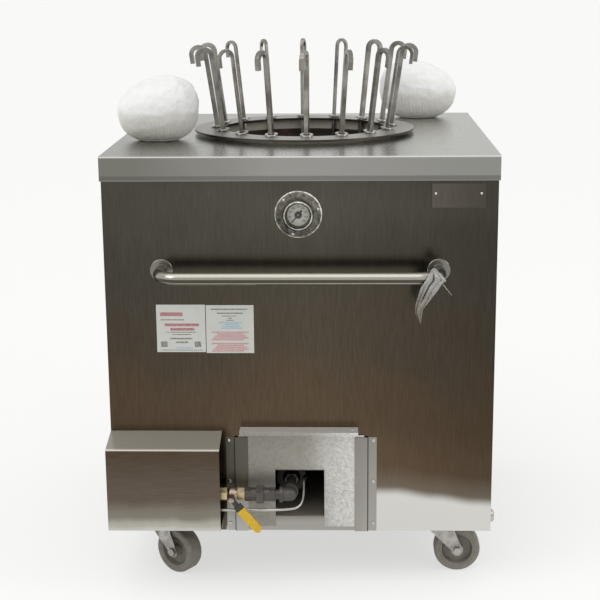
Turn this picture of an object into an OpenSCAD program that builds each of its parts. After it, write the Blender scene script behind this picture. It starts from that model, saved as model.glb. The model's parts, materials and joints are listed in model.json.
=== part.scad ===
// Gas-fired tandoor oven on casters, with its skewer ring, skewers and bread pads.
// Millimetres, +Z up, the front faces -Y. Origin on the floor, under the middle of the whole oven.

/* [Cabinet] */
// Width of the cabinet over its side panels
cab_w = 813; // [780:1:860]
// Depth of the cabinet from front panel to back panel
cab_d = 813; // [780:1:860]
// Height of the worktop above the floor
cab_top = 940; // [930:1:970]
// Height of the cabinet's underside above the floor, which is the caster height
cab_floor = 127; // [125:1:135]
// Thickness of the stainless sheet
sheet = 1.5; // [1:0.1:2]
// Height of the folded lip round the worktop
lip_h = 50.8; // [40:0.1:60]
// How far the lip stands outside the panels
lip_over = 3.5; // [3:0.1:6]
// Outside radius of the lip's vertical corners
lip_corner = 4; // [3:0.5:8]
// Width of the folded flanges inside the panels
flange_w = 15; // [10:1:20]

/* [Base] */
// Height of the sill, from the cabinet's underside to the bottom pan's top
sill_h = 33; // [28:1:40]
// Width of the base frame's flat leg
angle_w = 38; // [30:1:45]
// Thickness of the base frame's steel
angle_t = 4; // [3:0.5:6]
// Width of the two rails that carry the casters
rail_w = 100; // [98:1:120]
// Height of the pot deck's underside above the bottom pan
deck_rise = 102; // [90:1:115]
// Thickness of the pot deck
deck_t = 6; // [4:0.5:8]
// Side of the deck's corner posts
post_w = 40; // [30:1:45]
// Depth of the bearers under the deck
bearer_h = 25; // [15:1:40]
// Distance of each bearer from the middle
bearer_x = 180; // [120:5:250]

/* [Pot] */
// Thickness of the refractory slab under the pot
slab_t = 32; // [25:1:40]
// Outer radius of the refractory slab
slab_r = 300; // [290:1:310]
// Radius of the burner opening in the slab
burner_hole_r = 84; // [80:1:85]
// Thickness of the clay wall
pot_wall = 32; // [25:1:38]
// Inside radius of the pot at its foot
foot_r = 250; // [230:1:255]
// Inside radius of the pot at its belly
belly_r = 290; // [270:1:300]
// Height of the belly above the slab
belly_up = 215; // [180:1:260]
// Depth of the pot's rim below the worktop
rim_drop = 15; // [12:1:25]
// Inside radius of the pot's mouth
mouth_r = 205; // [203:1:208]
// Gap between the insulation and what it is packed round
pack_gap = 0.5; // [0.3:0.1:1]

/* [Mouth collar and skewer ring] */
// Inside radius of the stainless collar
collar_r = 206; // [205:1:209]
// How far the collar's rim stands above the worktop
collar_proud = 8; // [6:0.5:10]
// Width of the collar's rim
collar_rim_w = 12; // [8:1:16]
// Thickness of the collar's steel
collar_t = 2; // [1.5:0.1:3]
// Inside radius of the loose skewer ring
ring_in_r = 185; // [180:1:187]
// Outside radius of the loose skewer ring
ring_out_r = 252; // [240:1:256]
// Thickness of the skewer ring
ring_t = 5; // [4:0.5:6]
// Outside radius of an eyelet washer
eyelet_or = 14.5; // [12:0.1:16]
// Hole radius of an eyelet washer
eyelet_ir = 7.7; // [7.5:0.1:9]
// Thickness of an eyelet washer
eyelet_t = 4; // [3:0.1:5]
// Radius of the ring's hole under each eyelet
ring_hole_r = 9.4; // [9:0.1:10]

/* [Skewers] */
// Number of skewers round the ring
skewer_count = 16; // [16:1:16]
// Radius of the circle on which the eyelets stand
eyelet_circle = 200; // [198:0.5:201]
// Angle of the first skewer, measured from the oven's right-hand side
first_angle = -87; // [-90:1:-80]
// Outward lean of the skewers
lean = 8.4; // [7:0.1:9]
// Side of the thick square bar
thick_bar = 10; // [9:0.1:10]
// Side of the thin square bar
thin_bar = 7; // [6:0.1:8]
// Height of the hooks above the skewer ring
hook_rise = 190; // [150:1:220]
// Centre-line radius of the hook's bend
hook_r = 16; // [14:0.1:18]
// Straight end of the hook after its bend
hook_leg = 19; // [12:1:25]
// Length of the pointed tip
tip_len = 40; // [25:1:60]
// Width left at the very point
tip_w = 1.6; // [1:0.1:2.5]

/* [Burner and gas train] */
// Height of the gas pipes above the floor
gas_z = 227; // [226:0.5:232]
// Distance of the gas train in front of the front panel
gas_out = 45; // [42:1:46]
// Radius of the iron pipe
pipe_r = 10.65; // [10:0.05:11]
// Radial clearance of a pipe in its socket
socket_gap = 0.05; // [0.03:0.01:0.1]
// Depth of a pipe socket
socket_d = 12; // [10:0.5:13]
// Outer radius of iron fittings
fitting_r = 14.5; // [14:0.5:16]
// Sideways place of the supply pipe
supply_x = -300; // [-310:1:-290]
// Sideways place of the ball valve
valve_x = -145; // [-148:1:-142]
// Length of the ball valve
valve_len = 52; // [42:1:54]
// Radius of the ball valve's round body
valve_body_r = 15.5; // [15:0.5:17]
// Sideways place of the union's middle
union_x = -86.5; // [-88:0.5:-85]
// Length of the union
union_len = 63; // [58:1:66]
// Corner radius of the union's nut
union_nut_r = 21; // [19:0.5:23]
// Width of the union's nut
union_nut_w = 15; // [12:1:18]
// Sideways place of the elbow, and of the burner's tube behind it
elbow_x = -23; // [-25:1:-20]
// Reach of the elbow's legs from its corner
elbow_leg = 22; // [20:1:24]
// Radius of the burner head
burner_r = 72; // [60:1:76]
// Outer radius of the burner's mixing tube
mix_r = 23; // [20:0.5:25]
// Distance of the mixing tube's bell behind the front panel
bell_in = 56; // [50:1:70]
// Radius of the aluminium pilot tube
pilot_r = 3; // [2.5:0.1:3.5]
// Bore radius of the gas inlet socket for a threaded pipe
inlet_r = 9.3; // [9:0.05:9.5]
// Outer radius of the gas inlet socket
inlet_or = 15; // [14:0.5:16]
// Length of thread in the gas inlet socket
inlet_len = 20; // [15:1:24]
// How far the gas inlet socket stands behind the back panel
inlet_out = 30; // [26:1:40]

/* [Valve lever] */
// Angle of the lever below the pipe, with 0 fully open and 90 shut
lever_drop = 50; // [30:1:60]
// Length of the lever from its stem
lever_len = 93; // [80:1:110]
// Distance of the lever in front of the pipe's centre
lever_out = 31; // [29:0.5:33]
// Distance of the sleeve's near end from the stem
sleeve_in = 18; // [14:1:30]
// Half the width of the lever's sleeve
sleeve_r = 9; // [8:0.5:10]
// Thickness of the lever's steel
lever_t = 3; // [2:0.5:4]
// Thickness of the lever's sleeve
sleeve_t = 7; // [6:0.5:8]

/* [Draft door] */
// Width of the window in the front panel
window_w = 260; // [240:1:264]
// Height of the window above the sill
window_h = 168; // [150:1:174]
// Width of the door plate
door_w = 268; // [266:1:272]
// Width of the door's folded flange
door_flange_w = 250; // [230:1:256]
// Height of the door's bottom edge above the cabinet's underside
door_lift = 10; // [8:1:14]
// Height of the door plate
door_h = 225; // [220:1:230]
// Depth of the door's folded flange
door_flange_d = 38; // [24:1:40]
// Depth of the down-turned lip of that flange
door_lip = 7; // [5:1:14]
// Width of the notch in the door
notch_w = 105; // [95:1:110]
// Height of the notch
notch_h = 129.5; // [124:0.5:132]
// Sideways place of the notch
notch_x = -3.5; // [-6:0.5:0]
// Gap in front of and behind the door plate in its guides
door_gap = 1.25; // [0.8:0.05:1.5]
// Height of the door guides
guide_h = 213; // [200:1:220]
// Distance of the guide's fold from the middle
guide_x = 141; // [139:1:143]
// Width of the guide's flange on the panel
guide_flange = 20; // [16:1:22]
// Width of the guide's raised flange
guide_cover = 27; // [20:1:28]

/* [Control cover] */
// Gap between the control cover's open end and the middle of the ball valve
cover_gap = 23.5; // [21:0.5:28]
// Depth of the control cover
cover_d = 80; // [78:1:86]
// Height of the cover's bottom above the cabinet's underside
cover_up = 30.5; // [28:0.5:34]
// Height of the cover's front
cover_h = 179; // [165:1:190]
// Rise of the cover's sloping top
cover_rise = 16.5; // [8:0.5:24]
// Thickness of the cover's sheet
cover_t = 1.2; // [1:0.1:1.6]

/* [Handle and thermometer] */
// Depth of the handle below the worktop
handle_drop = 237; // [220:1:260]
// Distance of each handle leg from the middle
handle_x = 287; // [270:1:300]
// Radius of the handle's tube
handle_r = 12.7; // [11:0.1:14]
// Distance of the tube's centre from the front panel
handle_out = 81; // [70:1:90]
// Bend radius of the handle
handle_bend = 45; // [35:1:55]
// Radius of the handle's round flanges
handle_flange_r = 24; // [20:1:28]
// Thickness of the handle's round flanges
handle_flange_t = 3; // [2:0.5:4]
// Depth of the thermometer's middle below the worktop
dial_drop = 120; // [104:1:140]
// Sideways place of the thermometer
dial_x = -2; // [-10:1:10]
// Radius of the thermometer's mounting flange
bezel_r = 49; // [46:1:52]
// Thickness of the mounting flange
bezel_t = 2; // [1.5:0.5:3]
// Radius of the thermometer's case
case_r = 32; // [30:1:34]
// Depth of the thermometer's case
case_d = 18; // [14:1:22]
// Radius of the opening in the case's front rim
dial_open_r = 25; // [23:0.5:26]
// Wall between the case's cavity and its outside
case_wall = 5; // [4:0.5:6]
// Radius of the stem that reaches the pot
stem_r = 4; // [3:0.5:5]
// Direction of the needle, measured from the dial's right-hand side
needle_angle = 230; // [220:1:240]
// Length of the needle from its hub
needle_len = 22; // [18:1:24]

/* [Casters] */
// Radius of the wheels
wheel_r = 50.8; // [49:0.1:51]
// Width of the tread
tread_w = 38; // [28:1:42]
// Distance of the caster pivots from the middle, sideways
caster_x = 306; // [290:1:315]
// Distance of the caster pivots from the front and back panels
caster_in = 95; // [85:1:110]
// Trail of the wheel behind its pivot
trail = 36; // [32:1:40]
// Radius of the axle
axle_r = 6; // [5:0.5:7]
// Side of the square caster plate
plate_w = 95; // [85:1:98]
// Direction in which each caster trails, front left, front right, back left, back right
caster_turn = [-34, 0, 158, 24]; // [-180:1:180]

/* [Bread pads and bag] */
// Width of the left bread pad
pad_w = 190; // [180:1:196]
// Width of the right bread pad
pad_w2 = 200; // [190:1:206]
// Depth of the bread pads
pad_d = 160; // [150:1:170]
// Height of the bread pads
pad_h = 144; // [130:1:150]
// Distance of the left pad's middle behind the front panel
pad_in = 272; // [268:1:276]
// Distance of the left pad's middle outside the skewers' circle
pad_out_left = 120; // [118:1:124]
// Distance of the right pad's middle outside the skewers' circle
pad_out_right = 76; // [72:1:80]
// Distance of the right pad's middle in front of the back panel
pad2_in = 93; // [88:1:100]
// Height of the side plug's head outside the panel
plug_h = 8.5; // [6:0.5:10]
// Radius of the side plug's head
plug_r = 14; // [12:0.5:15]
// Clearance under whatever lies loose on something else
rest_gap = 0.3; // [0.1:0.05:0.4]

/* [Hidden] */
$fn = 64;
skewer_names = [for (i = [1:skewer_count]) str("skewer_", i < 10 ? "0" : "", i)];
caster_ends = ["front_left", "front_right", "back_left", "back_right"];

// overall reach and main planes
handle_reach = handle_out + handle_r;
front_y = (handle_reach - inlet_out - cab_d) / 2;
back_y = front_y + cab_d;
mid_y = front_y + cab_d / 2;
panel_top = cab_top - sheet;
handle_z = cab_top - handle_drop;
dial_z = cab_top - dial_drop;
panel_h = panel_top - cab_floor;
pan_top = cab_floor + sill_h;
plug_y = front_y + 20;
plug_z = cab_floor + 28;
plug_shank_r = 8;
frame_h = sill_h - sheet;
inner_w = cab_w - 2 * sheet;
top_flange_w = inner_w - 2 * flange_w - 2 * rest_gap;
return_gap = 0.2;
frame_w = inner_w - 2 * return_gap;
frame_front = front_y + 2 * sheet + return_gap;
frame_back = back_y - sheet - return_gap;
frame_d = frame_back - frame_front;
frame_mid = (frame_front + frame_back) / 2;
deck_z = pan_top + deck_rise;
slab_z = deck_z + deck_t;
slab_top = slab_z + slab_t;
pot_top = cab_top - rim_drop;
collar_top = cab_top + collar_proud;
ring_top = collar_top + ring_t;
eyelet_z = ring_top + eyelet_or * sin(lean) + eyelet_t / 2 * cos(lean) + 0.05;
gas_y = front_y - gas_out;
door_z = cab_floor + door_lift;
guide_out = 2 * door_gap + sheet;
thin_ones = [3, 7, 8, 9, 10, 14];
hook_turns = [-19, -9, -5, 3, 0, -12, -18, -22, -15, 0, -3, 4, 0, -8, -14, -11];
over = 1;

// radius of the pot's inside at a height, a fuller curve below the belly than above it
belly_z = slab_top + belly_up;
function pot_in(z) = z > belly_z
    ? belly_r - (belly_r - mouth_r) * pow((z - belly_z) / (pot_top - belly_z), 2)
    : belly_r - (belly_r - foot_r) * pow((belly_z - z) / (belly_z - slab_top), 2);
pot_steps = 16;
pot_joint = pot_steps / 2;
stem_gap = 1;
pot_levels = [for (i = [0:pot_steps]) slab_top + (pot_top - slab_top) * i / pot_steps];

module round_rect(w, d, r) {
    square([w - 2 * r, d], center = true);
    square([w, d - 2 * r], center = true);
    for (sx = [-1, 1], sy = [-1, 1])
        translate([sx * (w / 2 - r), sy * (d / 2 - r)]) circle(r);
}

// puts children on the front panel: X sideways, Y up and Z outwards
module on_front(x, z) {
    translate([x, front_y, z]) rotate([90, 0, 0]) children();
}

// a straight run along X from x0 to x1
module along_x(x0, x1, y, z) {
    translate([x0, y, z]) rotate([0, 90, 0]) children();
}

module top_plate() color("gainsboro") {
    top_w = cab_w + 2 * lip_over;
    top_d = cab_d + 2 * lip_over;
    translate([0, mid_y, cab_top - lip_h]) difference() {
        linear_extrude(lip_h) round_rect(top_w, top_d, lip_corner);
        translate([0, 0, -over]) linear_extrude(lip_h - sheet + over)
            round_rect(top_w - 2 * sheet, top_d - 2 * sheet, lip_corner - sheet);
        cylinder(r = collar_r + collar_t + rest_gap, h = lip_h + over);
    }
}

module front_panel() color("silver") difference() {
    union() {
        translate([-cab_w / 2, front_y, cab_floor]) cube([cab_w, sheet, panel_h]);
        translate([-top_flange_w / 2, front_y, panel_top - sheet]) cube([top_flange_w, flange_w, sheet]);
    }
    translate([-window_w / 2, front_y - over, pan_top]) cube([window_w, sheet + 2 * over, window_h]);
    translate([supply_x, front_y - over, gas_z]) rotate([-90, 0, 0])
        cylinder(r = pipe_r + 1, h = sheet + 2 * over);
    translate([dial_x, front_y - over, dial_z]) rotate([-90, 0, 0])
        cylinder(r = 2 * stem_r + rest_gap, h = sheet + 2 * over);
}

module cabinet_wrap() color("silver") difference() {
    union() {
        translate([0, 0, cab_floor]) linear_extrude(panel_h) {
            for (s = [-1, 1]) {
                translate([s * (cab_w - sheet) / 2, mid_y + sheet / 2])
                    square([sheet, cab_d - sheet], center = true);
                translate([s * (inner_w - flange_w) / 2, front_y + 1.5 * sheet])
                    square([flange_w, sheet], center = true);
            }
            translate([-cab_w / 2, back_y - sheet]) square([cab_w, sheet]);
        }
        for (s = [-1, 1])
            translate([s * (inner_w - flange_w) / 2, mid_y + flange_w / 2 + sheet, panel_top - sheet / 2])
                cube([flange_w, cab_d - flange_w - 3 * sheet, sheet], center = true);
        translate([-inner_w / 2, back_y - sheet - flange_w, panel_top - sheet])
            cube([inner_w, flange_w, sheet]);
    }
    translate([supply_x, back_y - sheet - over, gas_z]) rotate([-90, 0, 0])
        cylinder(r = inlet_or + 1, h = sheet + 2 * over);
    translate([cab_w / 2 - sheet - over, plug_y, plug_z]) rotate([0, 90, 0])
        cylinder(r = plug_shank_r + rest_gap, h = sheet + 2 * over);
}
module frame_ring(w) {
    difference() {
        square([frame_w, frame_d], center = true);
        square([frame_w - 2 * w, frame_d - 2 * w], center = true);
    }
}

module base_frame() color("dimgray") difference() {
    translate([0, frame_mid, cab_floor]) {
        linear_extrude(angle_t) frame_ring(angle_w);
        linear_extrude(frame_h) frame_ring(angle_t);
        for (s = [-1, 1]) translate([s * caster_x, 0, 0]) {
            translate([-rail_w / 2, -frame_d / 2, 0]) cube([rail_w, frame_d, angle_t]);
            for (e = [-1, 1])
                translate([e * (rail_w - angle_t) / 2 - angle_t / 2, -frame_d / 2, 0])
                    cube([angle_t, frame_d, frame_h]);
        }
    }
    for (c = [0:3]) at_caster(c) for (p = bolt_places)
        translate([p.x, p.y, cab_floor - over]) cylinder(r = bolt_r + bolt_gap, h = angle_t + 2 * over);
}

module bottom_pan() color("silver")
    translate([0, frame_mid, pan_top - sheet]) linear_extrude(sheet)
        square([frame_w, frame_d], center = true);

module pot_deck() color("gray") translate([0, frame_mid, 0]) {
    difference() {
        translate([0, 0, deck_z]) linear_extrude(deck_t) square([frame_w, frame_d], center = true);
        translate([0, mid_y - frame_mid, deck_z - over]) cylinder(r = burner_hole_r, h = deck_t + 2 * over);
    }
    for (sx = [-1, 1], sy = [-1, 1])
        translate([sx * (frame_w - post_w) / 2, sy * (frame_d - post_w) / 2, pan_top]) difference() {
            linear_extrude(deck_rise) square(post_w, center = true);
            translate([-sx * angle_t, -sy * angle_t, -over])
                linear_extrude(deck_rise + over) square(post_w, center = true);
        }
    for (s = [-1, 1])
        translate([s * bearer_x - angle_t / 2, -frame_d / 2, deck_z - bearer_h])
            cube([angle_t, frame_d, bearer_h]);
}

module pot_slab() color("tan") translate([0, mid_y, slab_z]) difference() {
    cylinder(r = slab_r, h = slab_t);
    translate([0, 0, -over]) cylinder(r = burner_hole_r, h = slab_t + 2 * over);
}

module pot_body(extra) {
    rotate_extrude() polygon(concat(
        [[0, pot_levels[0]]],
        [for (z = pot_levels) [pot_in(z) + pot_wall + extra, z]],
        [[0, pot_top]]));
}

// one section of the pot's wall, between two of its levels
module pot_section(first, last) color("peru") translate([0, mid_y, 0]) difference() {
    rotate_extrude() polygon(concat(
        [for (i = [first:last]) [pot_in(pot_levels[i]) + pot_wall, pot_levels[i]]],
        [for (i = [last:-1:first]) [pot_in(pot_levels[i]), pot_levels[i]]]));
    translate([dial_x, 0, dial_z]) rotate([90, 0, 0]) cylinder(r = stem_r + stem_gap, h = cab_d / 2);
}
module clay_pot_belly() pot_section(0, pot_joint);
module clay_pot_neck() pot_section(pot_joint, pot_steps);

fill_top = pot_top - 10;
module insulation() color("wheat") difference() {
    translate([-frame_w / 2, frame_mid - frame_d / 2, slab_z]) cube([frame_w, frame_d, fill_top - slab_z]);
    translate([0, mid_y, slab_z - over]) cylinder(r = slab_r + pack_gap, h = slab_t + over);
    translate([0, mid_y, 0]) pot_body(pack_gap);
    translate([dial_x, mid_y, dial_z]) rotate([90, 0, 0]) cylinder(r = 2 * stem_r + 1, h = cab_d / 2);
}

module mouth_collar() color("lightgray") translate([0, mid_y, 0]) {
    wall_or = collar_r + collar_t;
    foot = pot_top + 0.2;
    rotate_extrude() polygon([
        [collar_r, foot], [wall_or, foot], [wall_or, collar_top - collar_t],
        [collar_r + collar_rim_w, collar_top - collar_t], [collar_r + collar_rim_w, collar_top],
        [collar_r, collar_top]]);
}

// the tilted frame of skewer i: origin in its eyelet, Z up the shaft, X radially outwards
function skewer_angle(i) = first_angle + 360 * i / skewer_count;
module at_eyelet(i) {
    translate([0, mid_y, 0]) rotate([0, 0, skewer_angle(i)])
        translate([eyelet_circle, 0, eyelet_z]) rotate([0, lean, 0]) children();
}

module skewer_ring() color("silver") difference() {
    translate([0, mid_y, collar_top]) difference() {
        cylinder(r = ring_out_r, h = ring_t);
        translate([0, 0, -over]) cylinder(r = ring_in_r, h = ring_t + 2 * over);
    }
    for (i = [0:skewer_count - 1])
        translate([0, mid_y, collar_top - over]) rotate([0, 0, skewer_angle(i)])
            translate([eyelet_circle - (eyelet_z - ring_top) * tan(lean), 0, 0])
                cylinder(r = ring_hole_r, h = ring_t + 2 * over);
}

module ring_eyelets() color("gainsboro")
    for (i = [0:skewer_count - 1]) at_eyelet(i) difference() {
        translate([0, 0, -eyelet_t / 2]) cylinder(r = eyelet_or, h = eyelet_t);
        translate([0, 0, -eyelet_t]) cylinder(r = eyelet_ir, h = 2 * eyelet_t);
    }

// side view of the straight bar with its long point, drawn from the point upwards
module pointed_bar(bar, down, up) {
    polygon([[-tip_w / 2, -down], [tip_w / 2, -down], [bar / 2, tip_len - down], [bar / 2, up],
             [-bar / 2, up], [-bar / 2, tip_len - down]]);
}

module skewer(i) color("dimgray") {
    bar = len(search(i, thin_ones)) > 0 ? thin_bar : thick_bar;
    down = (eyelet_z - slab_top - rest_gap - tip_w * sin(lean)) / cos(lean);
    up = (ring_top + hook_rise - eyelet_z) / cos(lean) - hook_r - bar / 2;
    at_eyelet(i) rotate([0, 0, hook_turns[i]]) {
        intersection() {
            rotate([90, 0, 0]) linear_extrude(2 * bar, center = true) pointed_bar(bar, down, up);
            rotate([90, 0, 90]) linear_extrude(2 * bar, center = true) pointed_bar(bar, down, up);
        }
        translate([hook_r, 0, up]) rotate([90, 0, 0]) rotate_extrude(angle = 180)
            translate([hook_r, 0]) square(bar, center = true);
        translate([2 * hook_r - bar / 2, -bar / 2, up - hook_leg]) cube([bar, bar, hook_leg]);
    }
}

// gas parts along the burner's line
head_top = slab_top - 12;
head_h = 62;
foot_out = 50;
tube_wall = 4;
tube_bore = 80;
module burner() color("#3a3a3a") {
    head_z = head_top - head_h;
    translate([0, mid_y, 0]) {
        difference() {
            union() {
                translate([0, 0, head_z]) cylinder(r1 = burner_r - 10, r2 = burner_r, h = 12);
                translate([0, 0, head_z + 12]) cylinder(r = burner_r, h = head_h - 24);
                translate([0, 0, head_top - 12]) cylinder(r1 = burner_r, r2 = burner_r - 14, h = 12);
            }
            translate([0, 0, head_top - 6]) cylinder(r = burner_r - 34, h = 12);
            for (k = [0:15]) rotate([0, 0, 22.5 * k]) translate([burner_r - 24, 0, head_top - 16])
                cylinder(r = 2.5, h = 20);
        }
        for (k = [0:2]) rotate([0, 0, 90 + 120 * k]) translate([foot_out, 0, pan_top])
            cylinder(r = 7, h = head_z - pan_top + over);
    }
    bell_y = front_y + bell_in;
    translate([elbow_x, bell_y, gas_z]) rotate([-90, 0, 0]) difference() {
        union() {
            cylinder(r1 = mix_r + 9, r2 = mix_r, h = 30);
            cylinder(r = mix_r, h = mid_y - bell_y - 50);
        }
        translate([0, 0, -over]) cylinder(r = mix_r - tube_wall, h = tube_bore);
    }
}

deflector_up = 42;
deflector_z = slab_top + deflector_up;
deflector_r = 90;
deflector_dish = 30;
deflector_leg = 87;
module heat_deflector() color("darkgray") translate([0, mid_y, 0]) {
    translate([0, 0, deflector_z]) cylinder(r1 = deflector_r, r2 = deflector_r - deflector_dish, h = 10);
    for (k = [0:2]) rotate([0, 0, first_angle + 11.25 + 112.5 * k]) translate([deflector_leg, 0, slab_top])
        cylinder(r = 2.5, h = deflector_z - slab_top + over);
}

inlet_y = back_y + inlet_out;
pipe_end_y = inlet_y - inlet_len;
module supply_pipe() {
    translate([supply_x, gas_y + fitting_r + 14, gas_z]) rotate([-90, 0, 0])
        cylinder(r = pipe_r, h = pipe_end_y - gas_y - fitting_r - 14);
    translate([supply_x, 0, gas_z]) rotate([-90, 0, 0]) difference() {
        translate([0, 0, pipe_end_y - inlet_len]) cylinder(r = inlet_or, h = 2 * inlet_len);
        translate([0, 0, pipe_end_y - inlet_len - over])
            cylinder(r = pipe_r + socket_gap, h = inlet_len + over);
        translate([0, 0, pipe_end_y - over]) cylinder(r = inlet_r, h = inlet_y - pipe_end_y + 2 * over);
    }
}

regulator_r = 31;
regulator_end = supply_x + 45;
module gas_regulator() color("lightslategray") difference() {
    union() {
        along_x(supply_x - 28, 0, gas_y, gas_z) cylinder(r = fitting_r + 2, h = regulator_end - supply_x + 28);
        translate([supply_x, gas_y, gas_z]) rotate([-90, 0, 0]) cylinder(r = fitting_r, h = fitting_r + 22);
        translate([supply_x, gas_y, gas_z]) cylinder(r = 14, h = 36);
        translate([supply_x, gas_y, gas_z + 30]) cylinder(r = regulator_r, h = 14);
        translate([supply_x, gas_y, gas_z + 44]) cylinder(r1 = regulator_r - 5, r2 = 13, h = 12);
        translate([supply_x, gas_y, gas_z + 56]) cylinder(r = 11, h = 16);
        translate([supply_x + 24, gas_y, gas_z - 26]) cylinder(r = 7, h = 26);
    }
    translate([supply_x, gas_y + fitting_r + 14, gas_z]) rotate([-90, 0, 0])
        cylinder(r = pipe_r + socket_gap, h = 20);
    along_x(regulator_end - socket_d, 0, gas_y, gas_z) cylinder(r = pipe_r + socket_gap, h = socket_d + over);
}

// one nipple along X, let into a socket at each end
module nipple(x0, x1) {
    along_x(x0 - socket_d, 0, gas_y, gas_z) cylinder(r = pipe_r, h = x1 - x0 + 2 * socket_d);
}
valve_l = valve_x - valve_len / 2;
valve_r = valve_x + valve_len / 2;
union_l = union_x - union_len / 2;
union_r = union_x + union_len / 2;
orifice_len = 16;
module gas_nipples() {
    nipple(regulator_end, valve_l);
    nipple(valve_r, union_l);
    nipple(union_r, elbow_x - elbow_leg);
    run_y = gas_y + elbow_leg - socket_d;
    translate([elbow_x, 0, gas_z]) rotate([-90, 0, 0]) {
        translate([0, 0, run_y]) cylinder(r = pipe_r, h = front_y + bell_in - orifice_len - run_y);
        translate([0, 0, front_y + bell_in - orifice_len])
            cylinder(r = fitting_r + 1, h = orifice_len, $fn = 6);
    }
}

module gas_pipes() color("#2b2b2b") {
    supply_pipe();
    gas_nipples();
}

module socket_cut(x, dir) {
    along_x(dir > 0 ? x - socket_d : x - over, 0, gas_y, gas_z)
        cylinder(r = pipe_r + socket_gap, h = socket_d + over);
}

stem_out = lever_out - lever_t / 2;
lever_pin_r = 4;
lever_eye_r = 8;
lever_w = 11;
valve_hex = 15;
gland_r = 6.5;
nut_gap = 0.3;
nut_t = 5;
module ball_valve() color("goldenrod") difference() {
    waist = valve_len - 2 * valve_hex;
    union() {
        for (x = [valve_l, valve_r - valve_hex]) along_x(x, 0, gas_y, gas_z)
            cylinder(r = fitting_r, h = valve_hex, $fn = 6);
        along_x(valve_l + valve_hex, 0, gas_y, gas_z) rotate_extrude() polygon([
            [0, -over], [pipe_r + 1, -over], [pipe_r + 1, 0], [valve_body_r, waist / 4],
            [valve_body_r, waist * 3 / 4], [pipe_r + 1, waist], [pipe_r + 1, waist + over], [0, waist + over]]);
        translate([valve_x, gas_y, gas_z]) rotate([90, 0, 0]) {
            cylinder(r = gland_r, h = stem_out - nut_t);
            cylinder(r = lever_pin_r, h = stem_out + lever_t + nut_gap + nut_t + 2);
            translate([0, 0, stem_out + lever_t + nut_gap]) cylinder(r = gland_r, h = nut_t, $fn = 6);
        }
    }
    socket_cut(valve_r, 1);
    socket_cut(valve_l, -1);
}

// flat steel lever on the valve's stem with a vinyl sleeve on its outer half
module valve_lever() color("gold")
    translate([valve_x, gas_y - stem_out, gas_z]) rotate([90, lever_drop, 0]) difference() {
        union() {
            cylinder(r = lever_eye_r, h = lever_t);
            translate([0, -lever_w / 2, 0]) cube([lever_len - 2 * sleeve_r, lever_w, lever_t]);
            translate([sleeve_in, -sleeve_r, (lever_t - sleeve_t) / 2])
                cube([lever_len - sleeve_r - sleeve_in, 2 * sleeve_r, sleeve_t]);
            translate([lever_len - sleeve_r, 0, (lever_t - sleeve_t) / 2]) cylinder(r = sleeve_r, h = sleeve_t);
        }
        translate([0, 0, -over]) cylinder(r = lever_pin_r + socket_gap, h = lever_t + 2 * over);
    }

module pipe_union() color("#2b2b2b") difference() {
    union() {
        along_x(union_l, 0, gas_y, gas_z) cylinder(r = fitting_r, h = union_len);
        along_x(union_l, 0, gas_y, gas_z) cylinder(r = fitting_r + 1.5, h = socket_d, $fn = 8);
        along_x(union_x - union_nut_w / 2, 0, gas_y, gas_z) cylinder(r = union_nut_r, h = union_nut_w, $fn = 6);
        along_x(union_r - socket_d, 0, gas_y, gas_z) cylinder(r = fitting_r + 1.5, h = socket_d, $fn = 8);
    }
    socket_cut(union_r, 1);
    socket_cut(union_l, -1);
}

module pipe_elbow() color("#2b2b2b") difference() {
    union() {
        translate([elbow_x, gas_y, gas_z]) sphere(r = fitting_r);
        along_x(elbow_x - elbow_leg, 0, gas_y, gas_z) {
            cylinder(r = fitting_r, h = elbow_leg);
            cylinder(r = fitting_r + 2.5, h = 7);
        }
        translate([elbow_x, gas_y, gas_z]) rotate([-90, 0, 0]) {
            cylinder(r = fitting_r, h = elbow_leg);
            translate([0, 0, elbow_leg - 7]) cylinder(r = fitting_r + 2.5, h = 7);
        }
    }
    socket_cut(elbow_x - elbow_leg, -1);
    translate([elbow_x, gas_y + elbow_leg - socket_d, gas_z]) rotate([-90, 0, 0])
        cylinder(r = pipe_r + socket_gap, h = socket_d + over);
}

// the pilot tube runs under the train, turns in through the notch and climbs to the burner
pilot_x = 16;
pilot_end = [pilot_x, mid_y - burner_r - 12, gas_z];
pilot_path = [
    [supply_x + 24, gas_y, gas_z - 26.2],
    [supply_x + 24, gas_y, gas_z - 29],
    [supply_x + 29, gas_y - 4, gas_z - 32],
    [supply_x + 50, gas_y - 7, gas_z - 33],
    [elbow_x - 60, gas_y - 7, gas_z - 33],
    [elbow_x, gas_y - 5, gas_z - 31],
    [elbow_x + 17, gas_y + 2, gas_z - 28],
    [elbow_x + 25, gas_y + 12, gas_z - 20],
    [elbow_x + 28, front_y - 20, gas_z - 4],
    [elbow_x + 28, front_y - 8, gas_z + 14],
    [elbow_x + 28, front_y + 8, gas_z + 20],
    [pilot_x, front_y + 34, gas_z + 12],
    [pilot_x, front_y + 70, gas_z + 2],
    [pilot_x, front_y + 120, gas_z],
    [pilot_end.x, pilot_end.y - 60, pilot_end.z],
    pilot_end];
function spline(p, q, r, s, t) = 0.5 * (2 * q + (r - p) * t + (2 * p - 5 * q + 4 * r - s) * t * t
    + (3 * q - p - 3 * r + s) * t * t * t);
function smooth(path, steps) = let (n = len(path)) concat(
    [for (i = [0:n - 2], k = [0:steps - 1])
        spline(path[max(i - 1, 0)], path[i], path[i + 1], path[min(i + 2, n - 1)], k / steps)],
    [path[n - 1]]);
function unit(v) = v / norm(v);
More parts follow.
